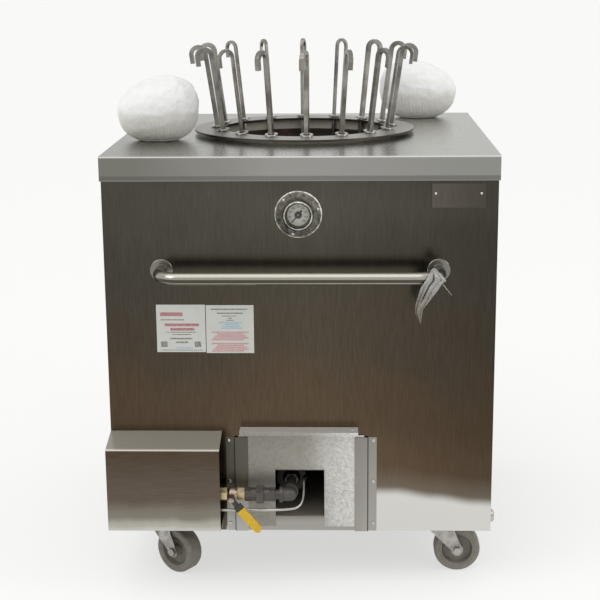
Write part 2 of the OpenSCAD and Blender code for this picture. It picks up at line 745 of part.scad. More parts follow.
module swept_tube(path, r, sides) {
    n = len(path);
    aim = unit([0.35, -0.3, 0.9]);
    points = [for (i = [0:n - 1])
        let (t = unit(path[min(i + 1, n - 1)] - path[max(i - 1, 0)]), u = unit(cross(t, aim)), v = cross(t, u))
        for (k = [0:sides - 1]) path[i] + r * (cos(360 * k / sides) * u + sin(360 * k / sides) * v)];
    walls = [for (i = [0:n - 2], k = [0:sides - 1])
        let (a = i * sides + k, b = i * sides + (k + 1) % sides) [a, b, b + sides, a + sides]];
    triangles = [for (q = walls) for (s = [[q[0], q[2], q[1]], [q[0], q[3], q[2]]]) s];
    start = [for (k = [0:sides - 1]) k];
    end = [for (k = [sides - 1:-1:0]) (n - 1) * sides + k];
    polyhedron(points = points, faces = concat([start, end], triangles));
}

module pilot_tube() color("lightgray") swept_tube(smooth(pilot_path, 4), pilot_r, 10);

// pilot head on its bracket, which is screwed to the burner's head
pilot_head_r = 5.5;
bracket_w = 16;
module pilot_burner() color("gray") {
    bracket_x = pilot_x - bracket_w / 2;
    head_y = pilot_end.y + pilot_head_r;
    reach = mid_y - sqrt(pow(burner_r, 2) - pow(bracket_x, 2)) - head_y - rest_gap;
    translate([pilot_x, head_y, gas_z]) difference() {
        union() {
            translate([0, 0, -6]) cylinder(r = pilot_head_r, h = 32);
            translate([-bracket_w / 2, 0, 10]) cube([bracket_w, reach, 3]);
        }
        translate([0, -pilot_head_r - over, 0]) rotate([-90, 0, 0]) cylinder(r = pilot_r + 0.2, h = over);
    }
}

module control_cover() color("silver") {
    cover_w = valve_x - cover_gap + cab_w / 2;
    top_z = function(y, drop) cover_h + cover_rise * (y + cover_d) / cover_d - drop;
    drop = cover_t * sqrt(1 + pow(cover_rise / cover_d, 2));
    translate([-cab_w / 2, front_y, cab_floor + cover_up]) rotate([90, 0, 90]) difference() {
        linear_extrude(cover_w)
            polygon([[0, 0], [-cover_d, 0], [-cover_d, cover_h], [0, top_z(0, 0)]]);
        translate([0, 0, cover_t]) linear_extrude(cover_w) polygon([
            [over, cover_t], [cover_t - cover_d, cover_t], [cover_t - cover_d, top_z(cover_t - cover_d, drop)],
            [over, top_z(over, drop)]]);
    }
}

module door_guides() color("gray")
    for (s = [0, 1]) mirror([s, 0, 0]) translate([0, front_y, cab_floor]) {
        linear_extrude(guide_h) polygon([
            [guide_x, 0], [guide_x + guide_flange, 0], [guide_x + guide_flange, -sheet],
            [guide_x + sheet, -sheet], [guide_x + sheet, -guide_out - sheet],
            [guide_x - guide_cover, -guide_out - sheet], [guide_x - guide_cover, -guide_out],
            [guide_x, -guide_out]]);
        translate([guide_x - guide_cover + 4, -guide_out, door_lift - sheet])
            cube([guide_cover - 4 + sheet / 2, guide_out - rest_gap, sheet]);
    }

module draft_door() color("lightgray") {
    top = door_z + door_h;
    translate([0, front_y - door_gap, door_z]) rotate([90, 0, 0]) linear_extrude(sheet) difference() {
        union() {
            translate([-door_w / 2, 0]) square([door_w, cab_floor + guide_h + 4 - door_z]);
            translate([-door_flange_w / 2 - 4, 0]) square([door_flange_w, door_h]);
        }
        translate([notch_x - notch_w / 2, -over]) square([notch_w, notch_h + over]);
    }
    difference() {
        translate([-door_flange_w / 2 - 4, front_y - door_gap - door_flange_d, top - sheet])
            cube([door_flange_w, door_flange_d, sheet]);
        translate([door_flange_w / 2 - 16, front_y - door_gap - door_flange_d / 2, top - 2 * sheet])
            cylinder(r = 2.5, h = 3 * sheet);
    }
    translate([-door_flange_w / 2 - 4, front_y - door_gap - door_flange_d, top - door_lip])
        cube([door_flange_w, sheet, door_lip]);
}

module handle() color("silver") on_front(0, handle_z) {
    leg = handle_out - handle_bend;
    for (s = [-1, 1]) {
        translate([s * handle_x, 0, 0]) {
            cylinder(r = handle_flange_r, h = handle_flange_t - 1);
            translate([0, 0, handle_flange_t - 1])
                cylinder(r1 = handle_flange_r, r2 = handle_flange_r - 1.5, h = 1);
            cylinder(r = handle_r, h = leg);
        }
        translate([s * (handle_x - handle_bend), 0, leg]) rotate([90, 0, 0]) rotate([0, 0, s > 0 ? 0 : 90])
            rotate_extrude(angle = 90) translate([handle_bend, 0]) circle(handle_r);
    }
    translate([handle_bend - handle_x, 0, handle_out]) rotate([0, 90, 0])
        cylinder(r = handle_r, h = 2 * (handle_x - handle_bend));
}

screw_r = 42;
screw_angles = [135, 15, 255];
cavity_r = case_r - case_wall;
case_back = bezel_t + 3;
case_front = bezel_t + case_d;
rim_t = 1.5;
probe = cab_d / 2 - pot_in(dial_z) - 8;
module thermometer_case() color("silver") on_front(dial_x, dial_z) {
    difference() {
        union() {
            cylinder(r = bezel_r, h = bezel_t);
            translate([0, 0, bezel_t]) cylinder(r = case_r, h = case_d - 2);
            translate([0, 0, case_front - 2]) cylinder(r1 = case_r, r2 = case_r - 2, h = 2);
        }
        translate([0, 0, case_back]) cylinder(r = cavity_r, h = case_front - rim_t - case_back);
        translate([0, 0, case_back]) cylinder(r = dial_open_r, h = case_d);
    }
    translate([0, 0, -12]) cylinder(r = 2 * stem_r, h = bezel_t + 12);
    translate([0, 0, -probe]) cylinder(r = stem_r, h = probe);
}

pin_r = 1;
dial_t = 1;
needle_hub_r = 7.5;
needle_tail = 12;
module thermometer_dial() color("white") on_front(dial_x, dial_z) {
    translate([0, 0, case_back]) cylinder(r = cavity_r - 0.1, h = dial_t);
    translate([0, 0, case_back]) cylinder(r = pin_r, h = dial_t + 4);
}

module thermometer_needle() color("black") on_front(dial_x, dial_z)
    translate([0, 0, case_back + dial_t + 0.3]) rotate([0, 0, needle_angle]) difference() {
        union() {
            cylinder(r = needle_hub_r, h = 2.4);
            linear_extrude(0.8) polygon([[-needle_tail, -1.8], [0, -1.8], [needle_len, -0.5], [needle_len, 0.5],
                                         [0, 1.8], [-needle_tail, 1.8]]);
        }
        translate([0, 0, -over]) cylinder(r = pin_r + 0.06, h = 5);
    }

module thermometer_glass() color([0.8, 0.9, 0.95, 0.4]) on_front(dial_x, dial_z)
    translate([0, 0, case_front - rim_t - 2]) cylinder(r = cavity_r - 0.1, h = 2);

guide_screw_up = [17, 113, 205];
guide_screws = [for (z = guide_screw_up) for (s = [-1, 1]) [s * (guide_x + guide_flange - 7), cab_floor + z]];
module pan_head(r, h) {
    cylinder(r = r, h = 0.6 * h);
    translate([0, 0, 0.6 * h]) cylinder(r1 = r, r2 = 0.6 * r, h = 0.4 * h);
}
module fasteners() color("gray") {
    for (p = guide_screws) on_front(p[0], p[1]) translate([0, 0, sheet]) pan_head(3.6, 2);
    for (a = screw_angles) on_front(dial_x + screw_r * cos(a), dial_z + screw_r * sin(a))
        translate([0, 0, bezel_t]) pan_head(3, 2);
    translate([cab_w / 2, plug_y, plug_z]) rotate([0, 90, 0]) {
        cylinder(r = plug_r, h = plug_h - 3.5);
        translate([0, 0, plug_h - 3.5]) cylinder(r1 = plug_r, r2 = plug_r - 5, h = 3.5);
        translate([0, 0, -sheet]) cylinder(r = plug_shank_r, h = sheet + over);
    }
    for (c = [0:3]) at_caster(c) for (p = bolt_places) translate([p.x, p.y, 0]) {
        translate([0, 0, cab_floor - plate_t - 5]) cylinder(r = 7, h = 5, $fn = 6);
        translate([0, 0, cab_floor - plate_t - over]) cylinder(r = bolt_r, h = plate_t + angle_t + 2 * over);
        translate([0, 0, cab_floor + angle_t]) cylinder(r = 7, h = 6, $fn = 6);
    }
}

// casters, each with its plate on the frame and its fork turned about the kingpin
plate_t = 4;
bolt_r = 4;
bolt_gap = 0.3;
bolt_off = 38;
bolt_places = [for (sx = [-1, 1], sy = [-1, 1]) [sx * bolt_off, sy * bolt_off]];
king_r = 7;
race_z = 116.9;
crown_z = 105;
crown_t = 5;
fork_gap = 0.1;
fork_t = 3;
fork_in = tread_w / 2 + 3;
module at_caster(c) {
    x = c % 2 == 0 ? -caster_x : caster_x;
    y = c < 2 ? front_y + caster_in : back_y - caster_in;
    translate([x, y, 0]) children();
}

module caster_plates() color("silver") for (c = [0:3]) at_caster(c) {
    difference() {
        translate([-plate_w / 2, -plate_w / 2, cab_floor - plate_t]) cube([plate_w, plate_w, plate_t]);
        for (p = bolt_places) translate([p.x, p.y, cab_floor - plate_t - over])
            cylinder(r = bolt_r + bolt_gap, h = plate_t + 2 * over);
    }
    translate([0, 0, race_z + fork_gap]) cylinder(r = 28, h = cab_floor - plate_t - race_z - fork_gap);
    translate([0, 0, crown_z - fork_gap]) cylinder(r = king_r, h = cab_floor - crown_z + fork_gap - over);
    translate([0, 0, crown_z - fork_gap - 4]) cylinder(r = 11, h = 4);
}

module fork(c) color("silver") at_caster(c) rotate([0, 0, caster_turn[c]]) {
    difference() {
        union() {
            translate([-26, -fork_in - fork_t, crown_z]) cube([56, 2 * (fork_in + fork_t), crown_t]);
            translate([0, 0, crown_z]) cylinder(r = 26, h = race_z - crown_z);
            for (s = [-1, 1])
                translate([0, s * (fork_in + fork_t / 2) + fork_t / 2, 0]) rotate([90, 0, 0])
                linear_extrude(fork_t) {
                    polygon([[-26, crown_z + crown_t], [30, crown_z + crown_t], [30, crown_z - 10],
                             [trail + 13, wheel_r], [trail - 13, wheel_r], [-26, crown_z - 6]]);
                    translate([trail, wheel_r]) circle(13);
                }
        }
        translate([0, 0, crown_z - over]) cylinder(r = king_r + 0.05, h = race_z - crown_z + 2 * over);
        translate([trail, fork_in + fork_t + over, wheel_r]) rotate([90, 0, 0])
            cylinder(r = axle_r + 0.1, h = 2 * (fork_in + fork_t + over));
    }
    translate([trail, fork_in + fork_t, wheel_r]) rotate([90, 0, 0]) {
        cylinder(r = axle_r, h = 2 * (fork_in + fork_t));
        translate([0, 0, -5]) cylinder(r = 10, h = 5, $fn = 6);
        translate([0, 0, 2 * (fork_in + fork_t)]) cylinder(r = 9, h = 6, $fn = 6);
    }
}

rim_r = 39;
hub_r = 13;
module wheel(c) color("darkgray") at_caster(c) rotate([0, 0, caster_turn[c]])
    translate([trail, 0, wheel_r]) rotate([90, 0, 0]) {
        half = tread_w / 2;
        hub_half = fork_in - fork_gap;
        rotate_extrude() polygon([
            [axle_r + 0.06, -hub_half], [hub_r, -hub_half], [hub_r, -6], [rim_r - 8, -5], [rim_r - 5, 1 - half],
            [rim_r, 1 - half], [rim_r, half - 1], [rim_r - 5, half - 1], [rim_r - 8, 5], [hub_r, 6],
            [hub_r, hub_half], [axle_r + 0.06, hub_half]]);
        rotate_extrude() polygon([
            [rim_r, -half], [wheel_r - 4, -half], [wheel_r - 1.2, 2.5 - half], [wheel_r, 6 - half],
            [wheel_r, half - 6], [wheel_r - 1.2, half - 2.5], [wheel_r - 4, half], [rim_r, half]]);
    }

// stuffed cloth pad: a crowned form on a flat base, its cloth gathered in folds towards the base
pad_sides = 36;
pad_rings = 15;
pad_gathers = 12;
function pad_out(t) = pow(cos(150 * t - 60), 0.62);
function pad_up(t) = 0.5 + 0.5 * sin(150 * t - 60) / sin(60) * (t < 0.4 ? 1 : sin(60));
module stuffed_pad(w, d, h) {
    levels = [for (j = [0:pad_rings - 1]) j / pad_rings];
    points = concat(
        [for (t = levels) for (k = [0:pad_sides - 1])
            let (a = 360 * k / pad_sides,
                 fold = 1 - 0.05 * max(0, 0.35 - t) / 0.35 * (1 + cos(pad_gathers * a)),
                 out = pad_out(t) * fold)
            [w / 2 * out * cos(a), d / 2 * out * sin(a), h * pad_up(t)]],
        [[0, 0, h]]);
    apex = pad_rings * pad_sides;
    walls = [for (j = [0:pad_rings - 2], k = [0:pad_sides - 1])
        let (a = j * pad_sides + k, b = j * pad_sides + (k + 1) % pad_sides) [a, b, b + pad_sides, a + pad_sides]];
    last = apex - pad_sides;
    polyhedron(points = points, faces = concat(
        [[for (k = [0:pad_sides - 1]) k]],
        [for (q = walls) for (s = [[q[0], q[2], q[1]], [q[0], q[3], q[2]]]) s],
        [for (k = [0:pad_sides - 1]) [last + k, apex, last + (k + 1) % pad_sides]]));
}
pad_left_x = -eyelet_circle - pad_out_left;
pad_right_x = eyelet_circle + pad_out_right;
module bread_pad_left() color("white")
    translate([pad_left_x, front_y + pad_in, cab_top + rest_gap]) stuffed_pad(pad_w, pad_d, pad_h);
module bread_pad_right() color("white")
    translate([pad_right_x, back_y - pad2_in, cab_top + rest_gap]) stuffed_pad(pad_w2, pad_d, pad_h);

bag_x = handle_x - 17;
bag_t = 3;
module document_bag() color([0.9, 0.9, 0.9, 0.7])
    translate([bag_x, front_y - handle_out + bag_t / 2, handle_z - handle_r - rest_gap]) rotate([90, 0, 0])
        linear_extrude(bag_t) polygon([[-14, 0], [4, 0], [25, -4], [14, -26], [-25, -78], [-36, -46]]);

top_plate();
front_panel();
cabinet_wrap();
base_frame();
bottom_pan();
pot_deck();
pot_slab();
clay_pot_belly();
clay_pot_neck();
insulation();
mouth_collar();
skewer_ring();
ring_eyelets();
for (i = [0:skewer_count - 1]) skewer(i);
burner();
heat_deflector();
gas_pipes();
gas_regulator();
ball_valve();
valve_lever();
pipe_union();
pipe_elbow();
pilot_tube();
pilot_burner();
control_cover();
door_guides();
draft_door();
handle();
thermometer_case();
thermometer_dial();
thermometer_needle();
thermometer_glass();
fasteners();
caster_plates();
for (c = [0:3]) fork(c);
for (c = [0:3]) wheel(c);
bread_pad_left();
bread_pad_right();
document_bag();
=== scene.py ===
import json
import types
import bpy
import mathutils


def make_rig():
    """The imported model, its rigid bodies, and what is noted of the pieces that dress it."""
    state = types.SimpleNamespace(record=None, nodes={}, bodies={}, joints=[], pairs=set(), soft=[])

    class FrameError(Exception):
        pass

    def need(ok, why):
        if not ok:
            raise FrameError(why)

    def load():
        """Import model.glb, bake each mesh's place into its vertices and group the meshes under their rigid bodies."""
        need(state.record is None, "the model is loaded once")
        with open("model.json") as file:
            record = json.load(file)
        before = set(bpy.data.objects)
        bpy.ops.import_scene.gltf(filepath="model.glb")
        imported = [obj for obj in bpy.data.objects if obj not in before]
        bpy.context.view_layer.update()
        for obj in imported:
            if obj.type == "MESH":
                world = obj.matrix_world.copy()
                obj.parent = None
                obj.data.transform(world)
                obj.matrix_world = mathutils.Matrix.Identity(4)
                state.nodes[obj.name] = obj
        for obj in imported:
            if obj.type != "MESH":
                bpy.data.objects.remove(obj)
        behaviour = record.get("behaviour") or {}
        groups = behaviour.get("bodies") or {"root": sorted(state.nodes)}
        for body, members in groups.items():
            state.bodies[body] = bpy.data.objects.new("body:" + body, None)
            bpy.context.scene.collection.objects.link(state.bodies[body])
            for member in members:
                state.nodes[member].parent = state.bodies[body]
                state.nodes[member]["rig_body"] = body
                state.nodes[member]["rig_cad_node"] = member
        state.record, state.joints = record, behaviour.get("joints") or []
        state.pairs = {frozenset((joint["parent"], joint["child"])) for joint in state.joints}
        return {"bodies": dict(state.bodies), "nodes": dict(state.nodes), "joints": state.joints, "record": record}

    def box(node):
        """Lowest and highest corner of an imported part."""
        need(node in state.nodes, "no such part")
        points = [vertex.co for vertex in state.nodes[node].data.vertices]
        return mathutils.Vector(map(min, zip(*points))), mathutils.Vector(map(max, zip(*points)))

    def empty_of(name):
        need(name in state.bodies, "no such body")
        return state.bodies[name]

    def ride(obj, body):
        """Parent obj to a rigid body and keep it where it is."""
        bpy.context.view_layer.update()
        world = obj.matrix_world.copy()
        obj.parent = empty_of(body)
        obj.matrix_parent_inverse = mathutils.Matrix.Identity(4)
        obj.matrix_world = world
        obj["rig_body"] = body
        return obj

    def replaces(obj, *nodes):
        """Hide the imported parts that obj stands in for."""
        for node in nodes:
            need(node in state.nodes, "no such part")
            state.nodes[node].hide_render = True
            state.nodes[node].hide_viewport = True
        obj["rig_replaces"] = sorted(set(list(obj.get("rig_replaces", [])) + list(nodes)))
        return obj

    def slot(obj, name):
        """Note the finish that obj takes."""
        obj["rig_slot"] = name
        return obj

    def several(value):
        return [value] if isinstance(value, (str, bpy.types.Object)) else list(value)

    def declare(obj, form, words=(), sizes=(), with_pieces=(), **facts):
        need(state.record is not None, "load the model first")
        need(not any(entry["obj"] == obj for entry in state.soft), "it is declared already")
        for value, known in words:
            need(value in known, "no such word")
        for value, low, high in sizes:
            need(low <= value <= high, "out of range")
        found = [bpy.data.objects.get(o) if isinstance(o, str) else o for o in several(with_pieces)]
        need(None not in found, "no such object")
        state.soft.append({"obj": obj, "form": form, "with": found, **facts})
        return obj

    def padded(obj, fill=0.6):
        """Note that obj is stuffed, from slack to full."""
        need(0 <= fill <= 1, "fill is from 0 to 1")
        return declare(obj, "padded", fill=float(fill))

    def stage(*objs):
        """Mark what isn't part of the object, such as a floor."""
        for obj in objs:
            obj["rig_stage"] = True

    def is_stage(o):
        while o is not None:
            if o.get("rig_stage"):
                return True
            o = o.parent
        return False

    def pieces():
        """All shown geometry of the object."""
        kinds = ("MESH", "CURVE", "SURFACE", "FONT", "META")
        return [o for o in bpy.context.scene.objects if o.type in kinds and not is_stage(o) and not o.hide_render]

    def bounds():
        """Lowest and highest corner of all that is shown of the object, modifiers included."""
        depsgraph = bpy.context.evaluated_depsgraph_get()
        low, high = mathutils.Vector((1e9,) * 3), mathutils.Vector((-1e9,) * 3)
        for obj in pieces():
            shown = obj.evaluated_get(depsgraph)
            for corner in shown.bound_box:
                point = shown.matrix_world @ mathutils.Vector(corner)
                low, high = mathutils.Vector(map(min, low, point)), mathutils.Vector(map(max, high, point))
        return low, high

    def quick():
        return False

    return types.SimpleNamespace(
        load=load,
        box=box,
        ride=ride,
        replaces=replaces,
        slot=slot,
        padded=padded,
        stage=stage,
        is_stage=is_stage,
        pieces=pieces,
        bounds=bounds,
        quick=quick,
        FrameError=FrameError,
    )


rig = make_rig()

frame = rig.load()
cad_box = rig.bounds()

import json
import math

import bpy
from mathutils import Matrix, Vector, noise

# The photograph is taken a little from above with a long lens, turned slightly to the left.
# The oven stands on a plain pale floor under an even sky, a broad sun and two soft lamps.
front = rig.box("front_panel")[0].y


def sheet_colour(hex_code):
    """An sRGB hex colour as Blender's linear red, green, blue and alpha."""
    parts = [int(hex_code[i:i + 2], 16) / 255 for i in (1, 3, 5)]
    return tuple(c / 12.92 if c <= 0.04045 else ((c + 0.055) / 1.055) ** 2.4 for c in parts) + (1,)


def plug(node, sockets):
    """Gives each of a node's inputs a value, or links it to an output or to a node's first output in use."""
    for key, value in sockets.items():
        if isinstance(value, bpy.types.Node):
            value = next(output for output in value.outputs if output.enabled)
        if isinstance(value, bpy.types.NodeSocket):
            node.id_data.links.new(value, node.inputs[key])
        else:
            node.inputs[key].default_value = sheet_colour(value) if isinstance(value, str) else value


def add_node(tree, kind, sockets=None, **settings):
    """Adds a node with its settings, and gives or links its inputs."""
    node = tree.nodes.new("ShaderNode" + kind)
    for key, value in settings.items():
        setattr(node, key, value)
    plug(node, sockets or {})
    return node


def new_finish(name, **shader):
    """A material; returns it, its tree, its shader with the given values, and the place in metres."""
    finish = bpy.data.materials.new(name)
    finish.use_nodes = True
    tree = finish.node_tree
    shade = tree.nodes["Principled BSDF"]
    plug(shade, {key.replace("_", " ").title().replace("Ior", "IOR"): value for key, value in shader.items()})
    return finish, tree, shade, add_node(tree, "TexCoord").outputs["Object"]


bpy.ops.object.select_all(action="DESELECT")
eye = Vector((0.0948, front - 2.8336, 1.3253))
turn = (Matrix.Rotation(math.radians(1.915), 4, "Z") @ Matrix.Rotation(math.radians(90 - 13.6), 4, "X")
        @ Matrix.Rotation(math.radians(-0.48), 4, "Z"))
view = bpy.data.objects.new("view", bpy.data.cameras.new("view"))
view.data.lens = 84.18
view.data.sensor_width = 36
view.data.clip_end = 400
view.matrix_world = Matrix.Translation(eye) @ turn
bpy.context.scene.collection.objects.link(view)
bpy.context.scene.camera = view
bpy.context.scene.view_settings.view_transform = "Standard"

world = bpy.data.worlds.new("even_sky")
bpy.context.scene.world = world
world.use_nodes = True
sky = world.node_tree
height = add_node(sky, "SeparateXYZ", {0: add_node(sky, "TexCoord").outputs["Generated"]})
bright = add_node(sky, "MapRange", {"Value": height.outputs["Z"], "From Min": 0.0, "From Max": 0.8,
                                    "To Min": 0.62, "To Max": 0.86})
# A narrow band at the horizon is as bright as the floor, so that no edge shows in the sheet metal.
horizon = add_node(sky, "MapRange", {"Value": height.outputs["Z"], "From Min": 0.0, "From Max": 0.16,
                                     "To Min": 0.96, "To Max": 0.62}, interpolation_type="SMOOTHSTEP")
level = add_node(sky, "Math", {0: bright, 1: horizon}, operation="MAXIMUM")
plug(sky.nodes["Background"], {"Color": "#FFFFFF", "Strength": level})


def hang_lamp(name, kind, place, aim, energy, painted_spread):
    """A sun of an angular width, or a square lamp of a size in metres, turned to where it aims."""
    lamp = bpy.data.objects.new(name, bpy.data.lights.new(name, kind))
    lamp.data.energy = energy
    if kind == "AREA":
        lamp.data.size = painted_spread
        lamp.visible_camera = False
    else:
        lamp.data.angle = painted_spread
    lamp.location = place
    lamp.rotation_euler = (Vector(aim) - Vector(place)).to_track_quat("-Z", "Y").to_euler()
    bpy.context.scene.collection.objects.link(lamp)


hang_lamp("broad_sun", "SUN", (-1.2, -1.6, 4.0), (0, 0, 0.4), 0.7, math.radians(60))
hang_lamp("left_softbox", "AREA", (-2.4, -2.2, 2.6), (0, 0, 0.6), 20, 1.8)
hang_lamp("right_softbox", "AREA", (2.6, -1.4, 2.2), (0, 0, 0.7), 20, 1.4)

bpy.ops.mesh.primitive_circle_add(vertices=96, radius=120, fill_type="NGON", location=(0, 0, 0))
floor = bpy.context.object
floor.name = "floor"
# Near white to the eye and in what the metal mirrors, with the oven's shadow still on it.
floor_paint, tree, shade, _ = new_finish("matt_floor_paint", base_color="#F0EFEC", roughness=0.9,
                                         specular_ior_level=0.2)
ray = add_node(tree, "LightPath").outputs
seen = add_node(tree, "Math", {0: ray["Is Camera Ray"], 1: ray["Is Glossy Ray"]}, operation="ADD")
seen = add_node(tree, "Math", {0: seen, 1: ray["Is Transmission Ray"]}, operation="ADD", use_clamp=True)
share = add_node(tree, "Math", {0: seen, 1: 0.6}, operation="MULTIPLY")
glow = add_node(tree, "Emission", {"Color": "#FFFFFF", "Strength": 1.0})
plug(tree.nodes["Material Output"], {"Surface": add_node(tree, "MixShader", {0: share, 1: shade, 2: glow})})
floor.data.materials.append(floor_paint)
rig.stage(floor)

# Swivel casters: a stamped plate bolted under the frame, a stamped fork turning on a kingpin, and
# a grey rubber wheel on a plain axle. Plate and fork are pressed from steel and bright zinc plated.


def softened(node_name, finish, edge, segments=2, sharp=32, join_flats=True):
    """A copy of a solid with its edges broken by a small radius, which stands for the solid.

    A piece whose flat faces have large holes keeps its triangles, as a joined face can fill the hole."""
    bpy.ops.object.select_all(action="DESELECT")
    solid = frame["nodes"][node_name]
    piece = bpy.data.objects.new(node_name + "_skin", solid.data.copy())
    bpy.context.scene.collection.objects.link(piece)
    piece.data.materials.clear()
    piece.data.materials.append(finish)
    bpy.context.view_layer.objects.active = piece
    piece.select_set(True)
    bpy.ops.object.mode_set(mode="EDIT")
    bpy.ops.mesh.select_all(action="SELECT")
    bpy.ops.mesh.remove_doubles(threshold=0.00001)
    if join_flats:
        bpy.ops.mesh.dissolve_limited(angle_limit=math.radians(0.4))
    bpy.ops.object.mode_set(mode="OBJECT")
    if edge:
        rim = piece.modifiers.new("broken_edge", "BEVEL")
        rim.width = edge
        rim.segments = segments
        rim.limit_method = "ANGLE"
        rim.angle_limit = math.radians(sharp)
        rim.miter_outer = "MITER_ARC"
        rim.harden_normals = False
        bpy.ops.object.modifier_apply(modifier=rim.name)
    bpy.ops.object.shade_smooth_by_angle(angle=math.radians(sharp))
    even = piece.modifiers.new("flat_sheet_normals", "WEIGHTED_NORMAL")
    even.keep_sharp = True
    bpy.ops.object.modifier_apply(modifier=even.name)
    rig.ride(piece, solid["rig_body"])
    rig.replaces(piece, node_name)


def patterned(shade, pattern, tones=None, rough=None, relief=None, span=(0.0, 1.0)):
    """Lets a pattern run the colour between two tones and the roughness between two values over a
    span of it, and stand out as a relief, given as its strength and its height in metres."""
    tree = shade.id_data
    ends = {"Value": pattern, "From Min": span[0], "From Max": span[1]}
    if tones:
        share = add_node(tree, "MapRange", ends)
        tone = add_node(tree, "Mix", {0: share, 6: tones[0], 7: tones[1]}, data_type="RGBA")
        plug(shade, {"Base Color": tone})
    if rough:
        dull = add_node(tree, "MapRange", {**ends, "To Min": rough[0], "To Max": rough[1]})
        plug(shade, {"Roughness": dull})
    if relief:
        bumps = add_node(tree, "Bump", {"Height": pattern, "Strength": relief[0], "Distance": relief[1]})
        plug(shade, {"Normal": bumps})


# Bright zinc on pressed steel: a pale grey metal, clouded by handling and dull where it is worn.
zinc_plate, tree, shade, place = new_finish("bright_zinc_plated_steel", metallic=1.0)
cloud = add_node(tree, "TexNoise", {"Vector": place, "Scale": 45.0, "Detail": 5.0, "Roughness": 0.6})
patterned(shade, cloud, tones=("#B3B1AB", "#6E6A61"), span=(0.4, 0.75))
patterned(shade, cloud, rough=(0.28, 0.55), relief=(0.25, 0.0004))

# Thermoplastic rubber, moulded grey: matt, with floor dust ground into the running face.
grey_tread, tree, shade, place = new_finish("moulded_grey_rubber", roughness=0.62)
dust = add_node(tree, "TexNoise", {"Vector": place, "Scale": 70.0, "Detail": 6.0, "Roughness": 0.65})
patterned(shade, dust, tones=("#5A564D", "#99948A"), relief=(0.3, 0.0005))

softened("caster_plates", zinc_plate, 0.0006)
for corner in ("front_left", "front_right", "back_left", "back_right"):
    softened("fork_" + corner, zinc_plate, 0.0008)
    softened("wheel_" + corner, grey_tread, 0.0006)

# The welded base: a perimeter angle with two wide rails for the casters, painted black, the bottom
# pan lying on it and the pot deck standing on four corner angles above the pan.
black_paint, tree, shade, place = new_finish("black_painted_steel", roughness=0.5)
orange_peel = add_node(tree, "TexNoise", {"Vector": place, "Scale": 220.0, "Detail": 3.0})
rub = add_node(tree, "TexNoise", {"Vector": place, "Scale": 9.0, "Detail": 6.0})
patterned(shade, rub, tones=("#222226", "#4A443E"), span=(0.5, 0.8))
patterned(shade, orange_peel, relief=(0.2, 0.0003))
softened("base_frame", black_paint, 0.0, join_flats=False)
softened("pot_deck", black_paint, 0.0008)

# The pot and what carries it: a refractory slab, a hand-thrown clay pot open at both ends, and
# ceramic fibre packed between pot and cabinet. The clay is unglazed, and sooty towards the mouth.
fired_clay, tree, shade, place = new_finish("unglazed_fired_clay", roughness=0.9)
grit = add_node(tree, "TexNoise", {"Vector": place, "Scale": 160.0, "Detail": 8.0, "Roughness": 0.7})
throwing = add_node(tree, "TexWave", {"Vector": place, "Scale": 22.0, "Distortion": 3.0, "Detail": 3.0},
                    bands_direction="Z")
soot = add_node(tree, "TexNoise", {"Vector": place, "Scale": 7.0, "Detail": 6.0, "Roughness": 0.6})
up = add_node(tree, "SeparateXYZ", {0: place}).outputs["Z"]
smoke = add_node(tree, "MapRange", {"Value": up, "From Min": 0.62, "From Max": 0.84, "To Max": 0.75})
patchy = add_node(tree, "MapRange", {"Value": soot, "From Min": 0.35, "From Max": 0.65})
sooty = add_node(tree, "Math", {0: patchy, 1: smoke}, operation="ADD", use_clamp=True)
patterned(shade, sooty, tones=("#A07A5E", "#42372C"))
grooves = add_node(tree, "Math", {0: grit, 1: throwing.outputs[1]}, operation="ADD")
patterned(shade, grooves, relief=(0.5, 0.0012))
softened("clay_pot_belly", fired_clay, 0.0)
softened("clay_pot_neck", fired_clay, 0.0)

# Cast refractory: buff, coarse and pitted, its grains up to 4 mm.
buff_refractory, tree, shade, place = new_finish("cast_refractory", roughness=0.95)
pits = add_node(tree, "TexVoronoi", {"Vector": place, "Scale": 240.0})
patterned(shade, pits, tones=("#A08C6B", "#CBB995"), relief=(0.5, 0.001))
softened("pot_slab", buff_refractory, 0.003)

# Ceramic fibre: white, matt and felted, with fibres drawn as tufts of about 5 mm so that they show.
fibre_felt, tree, shade, place = new_finish("ceramic_fibre_felt", roughness=1.0)
tufts = add_node(tree, "TexNoise", {"Vector": place, "Scale": 200.0, "Detail": 6.0, "Distortion": 1.2})
patterned(shade, tufts, tones=("#CFC9BB", "#EEEAE0"), relief=(0.6, 0.0015))
softened("insulation", fibre_felt, 0.002)

# The burner is one iron casting on three feet, its head drilled round the top and its mixing tube
# running to the front. A dished steel plate on three legs keeps drips off the flame.
sand_cast, tree, shade, place = new_finish("sand_cast_iron", metallic=0.6, roughness=0.72)
sand = add_node(tree, "TexNoise", {"Vector": place, "Scale": 350.0, "Detail": 5.0, "Roughness": 0.7})
rust = add_node(tree, "TexNoise", {"Vector": place, "Scale": 16.0, "Detail": 7.0, "Roughness": 0.65})
patterned(shade, rust, tones=("#3A3735", "#6B4630"), span=(0.52, 0.7))
patterned(shade, sand, relief=(0.5, 0.0006))
softened("burner", sand_cast, 0.0015)

# Bare mild steel that lives in the fire: grey-brown scale in spots, half dull.
scaled_steel, tree, shade, place = new_finish("heat_scaled_steel", metallic=1.0)
scale_spots = add_node(tree, "TexNoise", {"Vector": place, "Scale": 60.0, "Detail": 6.0, "Roughness": 0.6})
patterned(shade, scale_spots, tones=("#58514A", "#8B847B"), rough=(0.32, 0.6), relief=(0.3, 0.0004))
softened("heat_deflector", scaled_steel, 0.001)

# The cabinet: folded stainless sheet with a number 4 brushed finish. A front panel, one wrap of
# left, back and right panels, and the bottom pan; the folded flanges are spot-welded inside.


